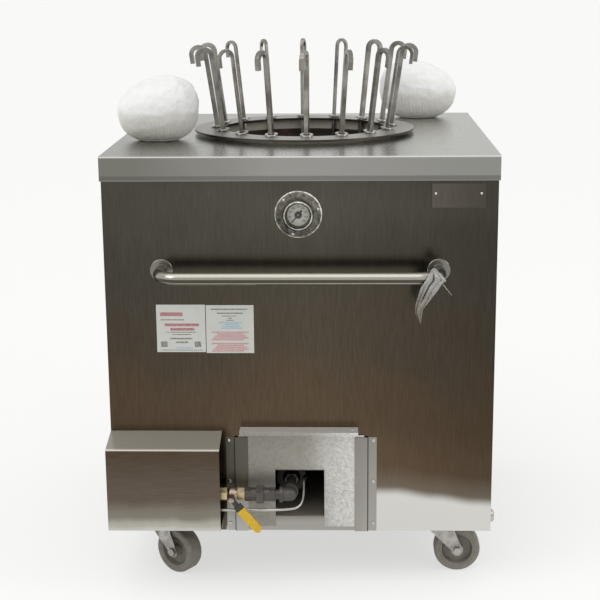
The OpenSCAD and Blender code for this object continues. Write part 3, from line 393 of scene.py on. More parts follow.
def tone_ramp(tree, value, stops):
    """A colour that runs through the stops, each a place in metres with its sRGB hex colour."""
    first, last = stops[0][0], stops[-1][0]
    along = add_node(tree, "MapRange", {"Value": value, "From Min": first, "From Max": last})
    ramp = add_node(tree, "ValToRGB", {0: along})
    ramp.color_ramp.interpolation = "EASE"
    for number, (where, hex_code) in enumerate(stops):
        share = (where - first) / (last - first)
        if number < 2:
            stop = ramp.color_ramp.elements[number]
            stop.position = share
        else:
            stop = ramp.color_ramp.elements.new(share)
        stop.color = sheet_colour(hex_code)
    return ramp.outputs[0]


def brushed_stainless(name, axis, stops, rough, grain, wave=0.3):
    """Brushed sheet whose tone runs through the stops along one axis. The real grain is about
    0.2 mm wide; it is drawn 0.5 mm wide and 40 mm long so that it just shows."""
    finish, tree, shade, place = new_finish(name, metallic=1.0)
    way = add_node(tree, "SeparateXYZ", {0: place}).outputs[axis]
    cloudy = add_node(tree, "TexNoise", {"Vector": place, "Scale": 5.0, "Detail": 5.0, "Roughness": 0.55})
    stray = 0.06 * (stops[-1][0] - stops[0][0])
    mottled = add_node(tree, "MapRange", {"Value": cloudy, "From Min": 0.3, "From Max": 0.7, "To Min": -stray,
                                          "To Max": stray})
    tan = tone_ramp(tree, add_node(tree, "Math", {0: way, 1: mottled}, operation="ADD"), stops)
    stretch = add_node(tree, "Mapping", {"Vector": place, "Scale": grain})
    brush = add_node(tree, "TexNoise", {"Vector": stretch, "Scale": 1.0, "Detail": 3.0, "Roughness": 0.6})
    faint = add_node(tree, "MapRange", {"Value": brush, "From Min": 0.35, "From Max": 0.65, "To Max": 0.05})
    streak = add_node(tree, "Mix", {0: faint, 6: tan, 7: "#D8D5CF"}, data_type="RGBA")
    patterned(shade, brush, rough=(rough - 0.03, rough + 0.06), span=(0.3, 0.7))
    bulge = add_node(tree, "TexNoise", {"Vector": place, "Scale": 3.2, "Detail": 1.0})
    lines = add_node(tree, "Bump", {"Height": brush, "Strength": 0.06, "Distance": 0.0002})
    flat = add_node(tree, "Bump", {"Height": bulge, "Strength": wave, "Distance": 0.004, "Normal": lines})
    plug(shade, {"Base Color": streak, "Normal": flat})
    return finish


def reopened(finish):
    """The tree and the shader of a finish, and the place along each axis in metres."""
    tree = finish.node_tree
    place = add_node(tree, "TexCoord").outputs["Object"]
    return tree, tree.nodes["Principled BSDF"], add_node(tree, "SeparateXYZ", {0: place}).outputs


def overlaid(shade, share, colour):
    """Lays a colour over what the shader shows so far, by a share from 0 to 1."""
    paint = shade.inputs["Base Color"]
    under = paint.links[0].from_socket if paint.links else paint.default_value[:]
    tone = add_node(shade.id_data, "Mix", {0: share, 6: under, 7: colour}, data_type="RGBA")
    plug(shade, {"Base Color": tone})


def multiplied(shade, factor):
    """Multiplies what the shader shows so far by a tone or a number."""
    under = shade.inputs["Base Color"].links[0].from_socket
    tone = add_node(shade.id_data, "VectorMath", {0: under, 1: factor}, operation="MULTIPLY")
    plug(shade, {"Base Color": tone})


upright_grain = (2000.0, 2000.0, 24.0)
wide_grain = (24.0, 2000.0, 2000.0)
deep_grain = (2000.0, 24.0, 2000.0)
# The panel's tones, brown at the foot and dark grey up its face, are a painted reflection.
panel_reflection_tones = [(0.127, "#5A4A3B"), (0.25, "#584633"), (0.4, "#4B3C2B"), (0.55, "#42392D"), (0.72, "#3F3B32"),
               (0.85, "#47443C"), (0.94, "#3E3B33")]
panel_steel = brushed_stainless("brushed_stainless_panel", "Z", panel_reflection_tones, 0.2, upright_grain)

# The front panel's foot has a painted bright reflection: the sill under the door up to a straight edge, and the
# right side up to a soft one, with a grey painted haze at its top. Between the cover and the door guide a stripe
# of painted shade runs up the lower part, and across the panel a painted gradient is brightest near the middle.
tree, shade, axes = reopened(panel_steel)
edge = tone_ramp(tree, axes["X"], [
    (-0.168, "#000000"), (-0.155, "#4C4C4C"), (0.15, "#4C4C4C"), (0.162, "#747474"), (0.2, "#747474"),
    (0.286, "#6D6D6D"), (0.372, "#666666"), (0.406, "#656565")])
reach = add_node(tree, "MapRange", {"Value": add_node(tree, "RGBToBW", {0: edge}), "From Max": 0.2,
                                    "To Min": 0.12, "To Max": 0.24})
above = add_node(tree, "Math", {0: axes["Z"], 1: reach}, operation="SUBTRACT")
painted_light = add_node(tree, "MapRange", {"Value": above, "From Min": -0.02, "From Max": 0.006, "To Min": 0.92,
                                    "To Max": 0.0}, interpolation_type="SMOOTHSTEP")
painted_haze = add_node(tree, "MapRange", {"Value": above, "From Min": -0.01, "From Max": 0.05, "To Min": 0.45,
                                   "To Max": 0.0})
painted_spread = add_node(tree, "MapRange", {"Value": axes["X"], "From Min": -0.45, "From Max": 0.0, "To Min": 0.86,
                                     "To Max": 1.12})
narrow = add_node(tree, "MapRange", {"Value": axes["X"], "From Min": 0.05, "From Max": 0.42,
                                     "To Max": 0.42})
painted_gap_shade = tone_ramp(tree, axes["X"], [(-0.175, "#FFFFFF"), (-0.168, "#9A9A9A"), (-0.152, "#9A9A9A"),
                                  (-0.146, "#FFFFFF")])
low_down = add_node(tree, "MapRange", {"Value": axes["Z"], "From Min": 0.3, "From Max": 0.36, "To Min": 1.0,
                                       "To Max": 0.0})
from_middle = add_node(tree, "Math", {0: axes["X"]}, operation="ABSOLUTE")
sill = add_node(tree, "Math", {0: from_middle, 1: 0.12}, operation="LESS_THAN")
# Painted shade in the gap, painted light across the panel, a painted haze and a painted bright reflection.
multiplied(shade, add_node(tree, "Mix", {0: low_down, 6: "#FFFFFF", 7: painted_gap_shade}, data_type="RGBA"))
multiplied(shade, add_node(tree, "Math", {0: painted_spread, 1: narrow}, operation="SUBTRACT"))
overlaid(shade, painted_haze, "#8A877B")
overlaid(shade, painted_light, add_node(tree, "Mix", {0: sill, 6: "#D8D7D3", 7: "#A3A29C"}, data_type="RGBA"))
softened("front_panel", panel_steel, 0.0005)
wrap_tones = [(0.127, "#8B8375"), (0.4, "#7D766A"), (0.94, "#86837B")]
wrap_steel = brushed_stainless("brushed_stainless_wrap", "Z", wrap_tones, 0.24, upright_grain)
softened("cabinet_wrap", wrap_steel, 0.0012, segments=3)
pan_tones = [(-0.4, "#8F8778"), (0.4, "#8F8778")]
pan_steel = brushed_stainless("brushed_stainless_pan", "X", pan_tones, 0.6, wide_grain)
plug(pan_steel.node_tree.nodes["Principled BSDF"], {"Metallic": 0.3})
softened("bottom_pan", pan_steel, 0.0005)

# Two paper rating labels are stuck side by side on the front panel. They are left without words:
# plain printed bars stand for the rows, in muted red, grey, blue and pink.


def stuck_sheet(name, finish, rects, proud, thick, slot=None):
    """Flat rectangles, each left, right, bottom, top in metres, lying on the front panel's face."""
    bpy.ops.object.select_all(action="DESELECT")
    pieces = []
    for left, right, bottom, top in rects:
        bpy.ops.mesh.primitive_cube_add(size=1, location=((left + right) / 2, front - proud - thick / 2,
                                                          (bottom + top) / 2))
        bar = bpy.context.object
        bar.scale = (right - left, thick, top - bottom)
        pieces.append(bar)
    for bar in pieces:
        bar.select_set(True)
    bpy.ops.object.join()
    sheet = bpy.context.object
    bpy.ops.object.transform_apply(location=True, rotation=True, scale=True)
    sheet.name = name
    sheet.data.materials.clear()
    sheet.data.materials.append(finish)
    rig.ride(sheet, frame["nodes"]["front_panel"]["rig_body"])
    if slot:
        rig.slot(sheet, slot)


def rows(left, right, tops, tall):
    """Rows of bars of uneven length between two sides, hanging from the given heights."""
    return [(left + 0.004 * (n * 3 % 4), right - 0.005 * (n * 5 % 3), top - tall, top)
            for n, top in enumerate(tops)]


# Coated paper: grey-white and half matt, with faint creases.
label_paper, tree, shade, place = new_finish("coated_label_paper", roughness=0.55)
crease = add_node(tree, "TexNoise", {"Vector": place, "Scale": 30.0, "Detail": 4.0})
patterned(shade, crease, tones=("#B2B4AE", "#C4C6C0"), relief=(0.2, 0.001))


def printing_ink(name, pale, strong):
    """Ink on coated paper: broken up in specks of about 2 mm, as small print looks from a step away."""
    ink, tree, shade, place = new_finish(name, roughness=0.6)
    speckle = add_node(tree, "TexNoise", {"Vector": place, "Scale": 480.0, "Detail": 2.0})
    patterned(shade, speckle, tones=(pale, strong), span=(0.42, 0.58))
    return ink


dark_ink = printing_ink("grey_printing_ink", "#9FA19C", "#4B4B4A")
red_ink = printing_ink("muted_red_printing_ink", "#B78F8E", "#8A3F4C")
blue_ink = printing_ink("pale_blue_printing_ink", "#A9B8C0", "#8AA6B8")
pink_ink = printing_ink("pink_printing_ink", "#BFA3A3", "#A97577")
# The ink lies just proud of the paper, which lies just proud of the panel.
paper_thick, over_paper, ink_thick = 0.0002, 0.00041, 0.0001
left_label = (-0.301, -0.1985, 0.527, 0.6295)
right_label = (-0.197, -0.097, 0.525, 0.6285)
stuck_sheet("rating_label_left", label_paper, [left_label], paper_thick, paper_thick)
stuck_sheet("rating_label_right", label_paper, [right_label], paper_thick, paper_thick)
stuck_sheet("label_rows_grey", dark_ink,
            rows(-0.293, -0.243, [0.598], 0.0022) + rows(-0.281, -0.218, [0.571, 0.566], 0.0018)
            + rows(-0.273, -0.226, [0.558, 0.55], 0.0034) + rows(-0.294, -0.205, [0.532], 0.0014)
            + rows(-0.186, -0.110, [0.621, 0.6125], 0.0026)
            + rows(-0.163, -0.133, [0.606, 0.6015, 0.597], 0.0018)
            + [(-0.293, -0.279, 0.538, 0.550), (-0.222, -0.208, 0.538, 0.550)], over_paper, ink_thick)
stuck_sheet("label_rows_red", red_ink, rows(-0.293, -0.246, [0.613], 0.008)
            + rows(-0.284, -0.212, [0.589, 0.5795], 0.006), over_paper, ink_thick)
stuck_sheet("label_block_blue", blue_ink, rows(-0.170, -0.121, [0.5925, 0.5885, 0.5845, 0.5805], 0.003)
            + [(-0.262, -0.226, 0.5345, 0.5375)], over_paper, ink_thick)
stuck_sheet("label_blocks_pink", pink_ink,
            rows(-0.186, -0.108, [0.5715, 0.5675, 0.5635, 0.5595, 0.5555], 0.003)
            + rows(-0.186, -0.108, [0.547, 0.543, 0.539, 0.535, 0.531], 0.003), over_paper, ink_thick)

# A thin stainless name plate, left bare, stands just proud of the panel. It is held by two
# round-headed rivets near its ends.
plate_proud, plate_thick = 0.0001, 0.0008
plate_left, plate_right, plate_bottom, plate_top = 0.271, 0.380, 0.833, 0.883
plate_tones = [(0.27, "#56504A"), (0.38, "#46423A")]
plate_steel = brushed_stainless("brushed_stainless_name_plate", "X", plate_tones, 0.3, upright_grain)
stuck_sheet("name_plate", plate_steel, [(plate_left, plate_right, plate_bottom, plate_top)], plate_proud,
            plate_thick, slot="stainless_sheet")
bpy.ops.object.mode_set(mode="EDIT")
bpy.ops.mesh.select_all(action="SELECT")
bpy.ops.mesh.bevel(offset=0.0003, segments=2)
bpy.ops.object.mode_set(mode="OBJECT")
rivet_steel, tree, shade, place = new_finish("bright_rivet_steel", base_color="#C9C6BF", metallic=1.0)
patterned(shade, add_node(tree, "TexNoise", {"Vector": place, "Scale": 300.0}), rough=(0.15, 0.4))
plate_face = front - plate_proud - plate_thick
rivet_height, rivet_radius, head_sunk = 0.8625, 0.0032, 0.0003
for side, across in (("left", plate_left + 0.0075), ("right", plate_right - 0.0085)):
    bpy.ops.object.select_all(action="DESELECT")
    bpy.ops.mesh.primitive_uv_sphere_add(segments=24, ring_count=12, radius=rivet_radius,
                                         location=(across, plate_face + head_sunk, rivet_height))
    rivet = bpy.context.object
    rivet.name = "plate_rivet_" + side
    bpy.ops.object.mode_set(mode="EDIT")
    bpy.ops.mesh.select_all(action="SELECT")
    bpy.ops.mesh.bisect(plane_co=(0, plate_face, 0), plane_no=(0, 1, 0), clear_outer=True, use_fill=True)
    bpy.ops.object.mode_set(mode="OBJECT")
    bpy.ops.object.transform_apply(location=True, rotation=True, scale=True)
    bpy.ops.object.shade_smooth_by_angle(angle=math.radians(40))
    rivet.data.materials.append(rivet_steel)
    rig.ride(rivet, frame["nodes"]["front_panel"]["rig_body"])
    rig.slot(rivet, "stainless_bright")

# The worktop is a pressed tray of the same sheet with a 51 mm turned-down lip, its corners welded
# and ground. The stainless collar stands in its hole and carries the loose skewer ring.
# Its tones, darker at the left and brightest at the middle, are painted light.
top_steel = brushed_stainless("brushed_stainless_worktop", "X", [(-0.41, "#8B8A82"), (0.0, "#B0AFAA"),
                                                                 (0.41, "#A5A5A0")], 0.24, deep_grain)
# The front top bend has a painted highlight, the top face is lightened and the lip darkened as painted light,
# and the lowest 11 mm of the lip has painted shade, down to a paler painted highlight at its edge.
tree, shade, axes = reopened(top_steel)
tray_low, tray_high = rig.box("top_plate")
painted_lip_shade = add_node(tree, "MapRange", {"Value": axes["Z"], "From Min": tray_low.z + 0.0095,
                                   "From Max": tray_low.z + 0.012, "To Min": 0.55, "To Max": 0.0},
                interpolation_type="SMOOTHSTEP")
painted_hem_highlight = add_node(tree, "MapRange", {"Value": axes["Z"], "From Min": tray_low.z + 0.0012,
                                  "From Max": tray_low.z + 0.0028, "To Min": 0.7, "To Max": 0.0})
from_front = add_node(tree, "Math", {0: axes["Y"], 1: tray_low.y}, operation="SUBTRACT")
from_top = add_node(tree, "Math", {0: tray_high.z, 1: axes["Z"]}, operation="SUBTRACT")
off_bend = add_node(tree, "Math", {0: from_front, 1: from_top}, operation="MAXIMUM")
painted_edge_highlight = add_node(tree, "MapRange", {"Value": off_bend, "From Min": 0.0012, "From Max": 0.003, "To Min": 0.9,
                                     "To Max": 0.0})
painted_lip_light = add_node(tree, "MapRange", {"Value": from_top, "From Min": 0.002, "From Max": 0.004, "To Min": 1.4,
                                  "To Max": 0.73})
multiplied(shade, painted_lip_light)
overlaid(shade, painted_lip_shade, "#5C5954")
overlaid(shade, painted_hem_highlight, "#8F8C80")
overlaid(shade, painted_edge_highlight, "#E4E4E0")
softened("top_plate", top_steel, 0.002, segments=4, join_flats=False)

# Turned and polished stainless: bright and smooth with very fine handling marks.
polished_steel, tree, shade, place = new_finish("polished_stainless", metallic=1.0)
marks = add_node(tree, "TexNoise", {"Vector": place, "Scale": 90.0, "Detail": 6.0, "Roughness": 0.65})
patterned(shade, marks, rough=(0.13, 0.36), span=(0.3, 0.8))
patterned(shade, marks, tones=("#A19F98", "#CFCDC7"))

# The collar's wall is brushed upright and has gone dull and tan from smoke.
collar_tones = [(-0.21, "#B5AD9F"), (0.0, "#CFC8BA"), (0.21, "#C2BAAC")]
collar_steel = brushed_stainless("smoked_brushed_collar", "X", collar_tones, 0.42, upright_grain)
plug(collar_steel.node_tree.nodes["Principled BSDF"], {"Metallic": 0.25})
softened("mouth_collar", collar_steel, 0.0005)
ring_steel = brushed_stainless("brushed_stainless_ring", "X", [(-0.25, "#9B9991"), (0.25, "#AEACA4")], 0.33,
                               wide_grain, wave=0.2)
# Its steep side faces carry painted shade, darker than its bright flat faces.
tree, shade, _ = reopened(ring_steel)
facing = add_node(tree, "SeparateXYZ", {0: add_node(tree, "TexCoord").outputs["Normal"]}).outputs["Z"]
flatness = add_node(tree, "Math", {0: facing}, operation="ABSOLUTE")
painted_edge_shade = add_node(tree, "MapRange", {"Value": flatness, "From Min": 0.3, "From Max": 0.8, "To Min": 1.0,
                                    "To Max": 0.0})
overlaid(shade, painted_edge_shade, "#4A4740")
softened("skewer_ring", ring_steel, 0.0006)
softened("ring_eyelets", polished_steel, 0.0009, segments=3)

# Sixteen skewers of square bar, each bent over into a hook at the top and ground to a point.
# They stand in the ring's eyelets with their hooks turned outwards; ten are thick and six thin.
# The bar is bright and smeared with grease, and burnt dark where it hangs in the pot.
bar_steel, tree, shade, place = new_finish("bright_drawn_square_bar", metallic=1.0)
up = add_node(tree, "SeparateXYZ", {0: place}).outputs["Z"]
lengthwise = add_node(tree, "Mapping", {"Vector": place, "Scale": (600.0, 600.0, 12.0)})
drawn = add_node(tree, "TexNoise", {"Vector": lengthwise, "Scale": 1.0, "Detail": 4.0, "Roughness": 0.6})
grease = add_node(tree, "TexNoise", {"Vector": place, "Scale": 22.0, "Detail": 3.0, "Roughness": 0.5})
burnt = add_node(tree, "MapRange", {"Value": up, "From Min": 0.55, "From Max": 0.95, "To Min": 0.85,
                                    "To Max": 0.12})
smeared = add_node(tree, "MapRange", {"Value": grease, "From Min": 0.38, "From Max": 0.62, "To Min": 0.08,
                                      "To Max": 0.5})
dark = add_node(tree, "Math", {0: burnt, 1: smeared}, operation="ADD", use_clamp=True)
patterned(shade, dark, tones=("#A9A69F", "#29231D"))
patterned(shade, drawn, rough=(0.14, 0.4), relief=(0.2, 0.0003))
for name in sorted(frame["nodes"]):
    if name.startswith("skewer_") and name != "skewer_ring":
        softened(name, bar_steel, 0.0008, segments=2, sharp=40)

# The gas train: a supply pipe and nipples of black iron, a regulator of die-cast aluminium, a brass
# ball valve, a ground-joint union and an elbow that turns the gas in through the door's notch.
# The iron is nearly black, with its mill scale worn grey in spots.
black_iron, tree, shade, place = new_finish("black_iron_pipe", metallic=0.7, roughness=0.45)
mill = add_node(tree, "TexNoise", {"Vector": place, "Scale": 120.0, "Detail": 6.0, "Roughness": 0.6})
patterned(shade, mill, tones=("#292725", "#6E6A65"), relief=(0.35, 0.0005))
softened("gas_pipes", black_iron, 0.0008)
softened("pipe_union", black_iron, 0.0015, segments=3)
softened("pipe_elbow", black_iron, 0.0012, segments=3)

# Die-cast aluminium: light grey with the faint orange peel of the die.
die_cast, tree, shade, place = new_finish("die_cast_aluminium", base_color="#A3A5A6", metallic=1.0)
peel = add_node(tree, "TexNoise", {"Vector": place, "Scale": 260.0, "Detail": 3.0})
patterned(shade, peel, rough=(0.42, 0.62), relief=(0.3, 0.0003))
softened("gas_regulator", die_cast, 0.0012, segments=3)

# Forged brass, tarnished in clouds. The body is nickel plated and has gone pink; only the wrench
# flats at its ends are bare brass.
forged_brass, tree, shade, place = new_finish("forged_brass", metallic=1.0)
tarnish = add_node(tree, "TexNoise", {"Vector": place, "Scale": 110.0, "Detail": 5.0, "Roughness": 0.6})
patterned(shade, tarnish, tones=("#7D6A5F", "#C9B4A8"), rough=(0.22, 0.5))
valve_low, valve_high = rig.box("ball_valve")
side = add_node(tree, "SeparateXYZ", {0: place}).outputs["X"]
off = add_node(tree, "Math", {0: side, 1: (valve_low.x + valve_high.x) / 2}, operation="SUBTRACT")
body_half = 0.0108
ends = add_node(tree, "Math", {0: add_node(tree, "Math", {0: off}, operation="ABSOLUTE"), 1: body_half},
                operation="GREATER_THAN")
overlaid(shade, ends, add_node(tree, "Mix", {0: tarnish, 6: "#A8966A", 7: "#E6D8B2"}, data_type="RGBA"))
softened("ball_valve", forged_brass, 0.0008)

# The lever is flat steel, black near the stem, with a sleeve of yellow vinyl dipped on its outer part.
vinyl, tree, shade, place = new_finish("yellow_vinyl_on_steel", base_color="#2B2926", roughness=0.42)
stem = Vector((-0.145, 0, 0.227))
lever_turn = math.radians(50)
sleeve_start = 0.030
arm = add_node(tree, "VectorMath", {0: place, 1: stem}, operation="SUBTRACT")
along = add_node(tree, "VectorMath", {0: arm, 1: (math.cos(lever_turn), 0, -math.sin(lever_turn))},
                 operation="DOT_PRODUCT")
dipped = add_node(tree, "Math", {0: along, 1: sleeve_start}, operation="GREATER_THAN")
scuff = add_node(tree, "TexNoise", {"Vector": place, "Scale": 150.0, "Detail": 5.0, "Roughness": 0.6})
overlaid(shade, dipped, add_node(tree, "Mix", {0: scuff, 6: "#A8800A", 7: "#DFB925"}, data_type="RGBA"))
softened("valve_lever", vinyl, 0.0008, segments=3)

# Soft aluminium tube, bent by hand: bright and a little dented.
drawn_aluminium, tree, shade, place = new_finish("drawn_aluminium_tube", metallic=1.0, roughness=0.34)
dents = add_node(tree, "TexNoise", {"Vector": place, "Scale": 90.0, "Detail": 4.0})
patterned(shade, dents, relief=(0.25, 0.0006))
# The run that goes up to the burner is grey from heat.
up = add_node(tree, "SeparateXYZ", {0: place}).outputs["Z"]
tube_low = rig.box("pilot_tube")[0].z
plug(shade, {"Base Color": tone_ramp(tree, up, [(tube_low + 0.008, "#B7B5AE"), (tube_low + 0.02, "#77746D"),
                                                (tube_low + 0.05, "#57544E")])})
softened("pilot_tube", drawn_aluminium, 0.0, sharp=70)
softened("pilot_burner", zinc_plate, 0.0005)

# The control cover is a folded box of thin stainless over the regulator, closed at its left end and
# open on the right, screwed to the front panel.
# Its tones, bright at the foot and dark brown upwards, are a painted reflection.
cover_reflection_tones = [(0.157, "#C2C1BB"), (0.17, "#ACA9A0"), (0.19, "#7D786D"), (0.235, "#5B5045"),
               (0.353, "#463829")]
cover_steel = brushed_stainless("brushed_stainless_cover", "Z", cover_reflection_tones, 0.22, wide_grain)
tree, shade, axes = reopened(cover_steel)
fold_height = 0.3362
roof = add_node(tree, "Math", {0: axes["Z"], 1: fold_height}, operation="GREATER_THAN")
above = add_node(tree, "Math", {0: axes["Z"], 1: fold_height}, operation="SUBTRACT")
off_fold = add_node(tree, "Math", {0: above}, operation="ABSOLUTE")
# A thin painted highlight lies along the front fold.
painted_edge_highlight = add_node(tree, "MapRange", {"Value": off_fold, "From Min": 0.0006, "From Max": 0.0018, "To Min": 0.9,
                                     "To Max": 0.0})
# Its roof has a paler painted tone, as lit from above, and is less metallic.
plug(shade, {"Metallic": add_node(tree, "MapRange", {"Value": roof, "To Min": 1.0, "To Max": 0.2})})
overlaid(shade, roof, "#8E8A80")
overlaid(shade, painted_edge_highlight, "#DDD8CC")
softened("control_cover", cover_steel, 0.0012, segments=3)

# The draft door is a plate of bare galvanised sheet that slides up and down between two folded
# guides; its top is turned out as a finger grip, and a notch lets the gas pipe through.
# The door's tones, darker at the left and bright at the right, are painted light.
door_sheet = brushed_stainless("galvanised_door_sheet", "X", [(-0.13, "#827E74"), (0.02, "#8A877D"),
                                                              (0.08, "#AAA9A4"), (0.13, "#BCBBB8")], 0.36,
                               upright_grain)
# Zinc has gone dull on it, and its crystals, up to 6 mm across, carry painted glints that grow towards the right.
tree, shade, axes = reopened(door_sheet)
coordinates = add_node(tree, "TexCoord").outputs
crystals = add_node(tree, "TexVoronoi", {"Vector": coordinates["Object"], "Scale": 210.0, "Randomness": 1.0})
right_side = add_node(tree, "MapRange", {"Value": axes["X"], "From Min": 0.0, "From Max": 0.09, "To Min": 0.1,
                                         "To Max": 0.6})
crystal_light = add_node(tree, "RGBToBW", {0: crystals.outputs["Color"]})
spangle_painted_glint = add_node(tree, "Math", {0: crystal_light, 1: right_side}, operation="MULTIPLY")
# Its upward faces, the turned-out grip's top among them, carry a painted highlight.
facing = add_node(tree, "SeparateXYZ", {0: coordinates["Normal"]}).outputs["Z"]
painted_top_highlight = add_node(tree, "MapRange", {"Value": facing, "From Min": 0.4, "From Max": 0.8})
plug(shade, {"Metallic": 0.55})
overlaid(shade, painted_top_highlight, "#DCDAD4")
overlaid(shade, spangle_painted_glint, "#E9E9E6")
softened("draft_door", door_sheet, 0.0006)
# The guides' tones, darker at the left and lighter at the right, are painted light.
guide_sheet = brushed_stainless("brushed_stainless_guides", "X", [(-0.16, "#7B766B"), (-0.11, "#736E62"),
                                                                  (0.11, "#98968E"), (0.16, "#A3A19A")], 0.3,
                                upright_grain)
# The left guide carries a painted reflection of the dark cover down to its foot, which has a painted bright
# reflection; both guides darken a little upwards as painted light.
tree, shade, axes = reopened(guide_sheet)
left_side = add_node(tree, "Math", {0: axes["X"], 1: 0.0}, operation="LESS_THAN")
plug(shade, {"Metallic": add_node(tree, "MapRange", {"Value": left_side, "To Min": 1.0, "To Max": 0.35})})
multiplied(shade, tone_ramp(tree, axes["Z"], [(0.12, "#FFFFFF"), (0.24, "#F0F0F0"), (0.36, "#DDDDDD")]))
left_painted_reflection = tone_ramp(tree, axes["Z"], [(0.12, "#B4B3AE"), (0.2, "#A7A6A0"), (0.222, "#5A554A"),
                                         (0.36, "#575248")])
overlaid(shade, left_side, left_painted_reflection)
# A line of painted shade lies along the fold, where the raised flange steps down to the one that is screwed on.
from_middle = add_node(tree, "Math", {0: axes["X"]}, operation="ABSOLUTE")
fold_painted_shade = tone_ramp(tree, from_middle, [(0.1405, "#FFFFFF"), (0.1415, "#6B6B6B"), (0.1425, "#6B6B6B"),
                                          (0.144, "#FFFFFF")])
multiplied(shade, fold_painted_shade)
softened("door_guides", guide_sheet, 0.0006)
softened("fasteners", polished_steel, 0.0005)

# The push bar is polished stainless tube, bent at both ends and welded to round flanges.
# The tube carries painted reflections: bright on top and along its lower edge, with a dark band below its middle.
push_bar_steel = brushed_stainless("polished_push_bar_tube", "X", [(-0.3, "#C9C7C0"), (0.3, "#D3D1CB")], 0.14,
                                   wide_grain)
tree, shade, axes = reopened(push_bar_steel)
bar_low, bar_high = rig.box("handle")
tube_radius = 0.0127
tube_axis = (bar_low.z + bar_high.z) / 2
multiplied(shade, tone_ramp(tree, axes["Z"], [
    (tube_axis - tube_radius, "#7C7870"), (tube_axis - 0.0105, "#CFCDC6"), (tube_axis - 0.0072, "#C4C1B9"),
    (tube_axis - 0.0058, "#58544D"), (tube_axis - 0.0005, "#625E56"), (tube_axis + 0.0018, "#D5D3CC"),
    (tube_axis + tube_radius, "#DDDBD4")]))
off_tube = add_node(tree, "Math", {0: axes["Y"], 1: bar_low.y + 2 * tube_radius}, operation="GREATER_THAN")
overlaid(shade, off_tube, "#7C7971")
plug(shade, {"Metallic": 0.85})
softened("handle", push_bar_steel, 0.0006, segments=3)

# The thermometer: a pressed stainless flange held by three screws, a turned case with a rolled
# rim, a printed dial, a black pointer and a flat glass. Its stem reaches the pot's wall.
case_low, case_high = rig.box("thermometer_case")
case_mid = (case_low + case_high) / 2


def dial_spoke(tree, place):
    """The way from the dial's axis to a place and its length, as seen from the front."""
    off = add_node(tree, "VectorMath", {0: place, 1: case_mid}, operation="SUBTRACT")
    spoke = add_node(tree, "VectorMath", {0: off, 1: (1, 0, 1)}, operation="MULTIPLY")
    return spoke, add_node(tree, "VectorMath", {0: spoke}, operation="LENGTH")


# Pressed and turned stainless: stained, with painted highlights on its rolled edges and painted shade inside the rim.
flange_steel, tree, shade, place = new_finish("pressed_stainless_flange", metallic=1.0)
spoke, radius = dial_spoke(tree, place)
flange_radius = (case_high.x - case_low.x) / 2
plug(shade, {"Base Color": tone_ramp(tree, radius, [
    (0.02, "#4B4840"), (0.0268, "#4F4C44"), (0.0276, "#DAD7CA"), (0.0293, "#C6C3B7"), (0.03, "#3E3B35"),
    (0.0313, "#4C4942"), (0.0325, "#75726A"), (flange_radius - 0.0032, "#716E66"),
    (flange_radius - 0.0018, "#CFCCC1"), (flange_radius, "#E0DDD3")])})
stains = add_node(tree, "TexNoise", {"Vector": place, "Scale": 90.0, "Detail": 6.0, "Roughness": 0.7})
stained = add_node(tree, "MapRange", {"Value": stains, "From Min": 0.38, "From Max": 0.62, "To Min": 0.35,
                                      "To Max": 1.3})
multiplied(shade, stained)
# Painted light darkens its lower left and brightens its upper right.
rightward = add_node(tree, "VectorMath", {0: spoke, 1: (0.5, 0, 0.85)}, operation="DOT_PRODUCT")
painted_light = add_node(tree, "MapRange", {"Value": rightward, "From Min": -0.03, "From Max": 0.03, "To Min": 0.6,
                                    "To Max": 1.3})
multiplied(shade, painted_light)
patterned(shade, stains, rough=(0.2, 0.42))
softened("thermometer_case", flange_steel, 0.0007, segments=3)
dial_paint, tree, shade, place = new_finish("white_enamelled_dial", roughness=0.4)
age = add_node(tree, "TexNoise", {"Vector": place, "Scale": 80.0, "Detail": 4.0})
patterned(shade, age, tones=("#DED6C8", "#EFE8DA"))
# Its edge has painted shade where the case's wall stands round it.
_, radius = dial_spoke(tree, place)
multiplied(shade, tone_ramp(tree, radius, [(0.0222, "#FFFFFF"), (0.0231, "#6A675F")]))
softened("thermometer_dial", dial_paint, 0.0)

# The dial's scale is screened on in dark grey: plain numbers and ticks over three quarters of a
# turn, from the lower left round to the lower right. Its ticks all end on one circle.
dial_ink, tree, shade, place = new_finish("dial_printing_ink", roughness=0.5)
patterned(shade, add_node(tree, "TexNoise", {"Vector": place, "Scale": 400.0}), tones=("#2E2D2B", "#55534E"))
dial_low, dial_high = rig.box("thermometer_dial")
dial_mid = (dial_low + dial_high) / 2
prints = []
print_thick = 0.0001
scale_start, scale_sweep = 225, 270
tick_circle, number_circle = 0.0236, 0.0172
tick_count, number_count = 40, 9
for tick in range(tick_count + 1):
    turned = math.radians(scale_start - scale_sweep * tick / tick_count)
    tall, wide = (0.0022, 0.0006) if tick % 5 == 0 else (0.0013, 0.0004)
    bpy.ops.mesh.primitive_cube_add(size=1, location=(0, 0, 0))
    mark = bpy.context.object
    mark.data.transform(Matrix.Translation((dial_mid.x, dial_low.y - print_thick, dial_mid.z))
                        @ Matrix.Rotation(-turned, 4, "Y")
                        @ Matrix.Translation((tick_circle - tall / 2, 0, 0))
                        @ Matrix.Diagonal((tall, print_thick, wide, 1)))
    prints.append(mark)
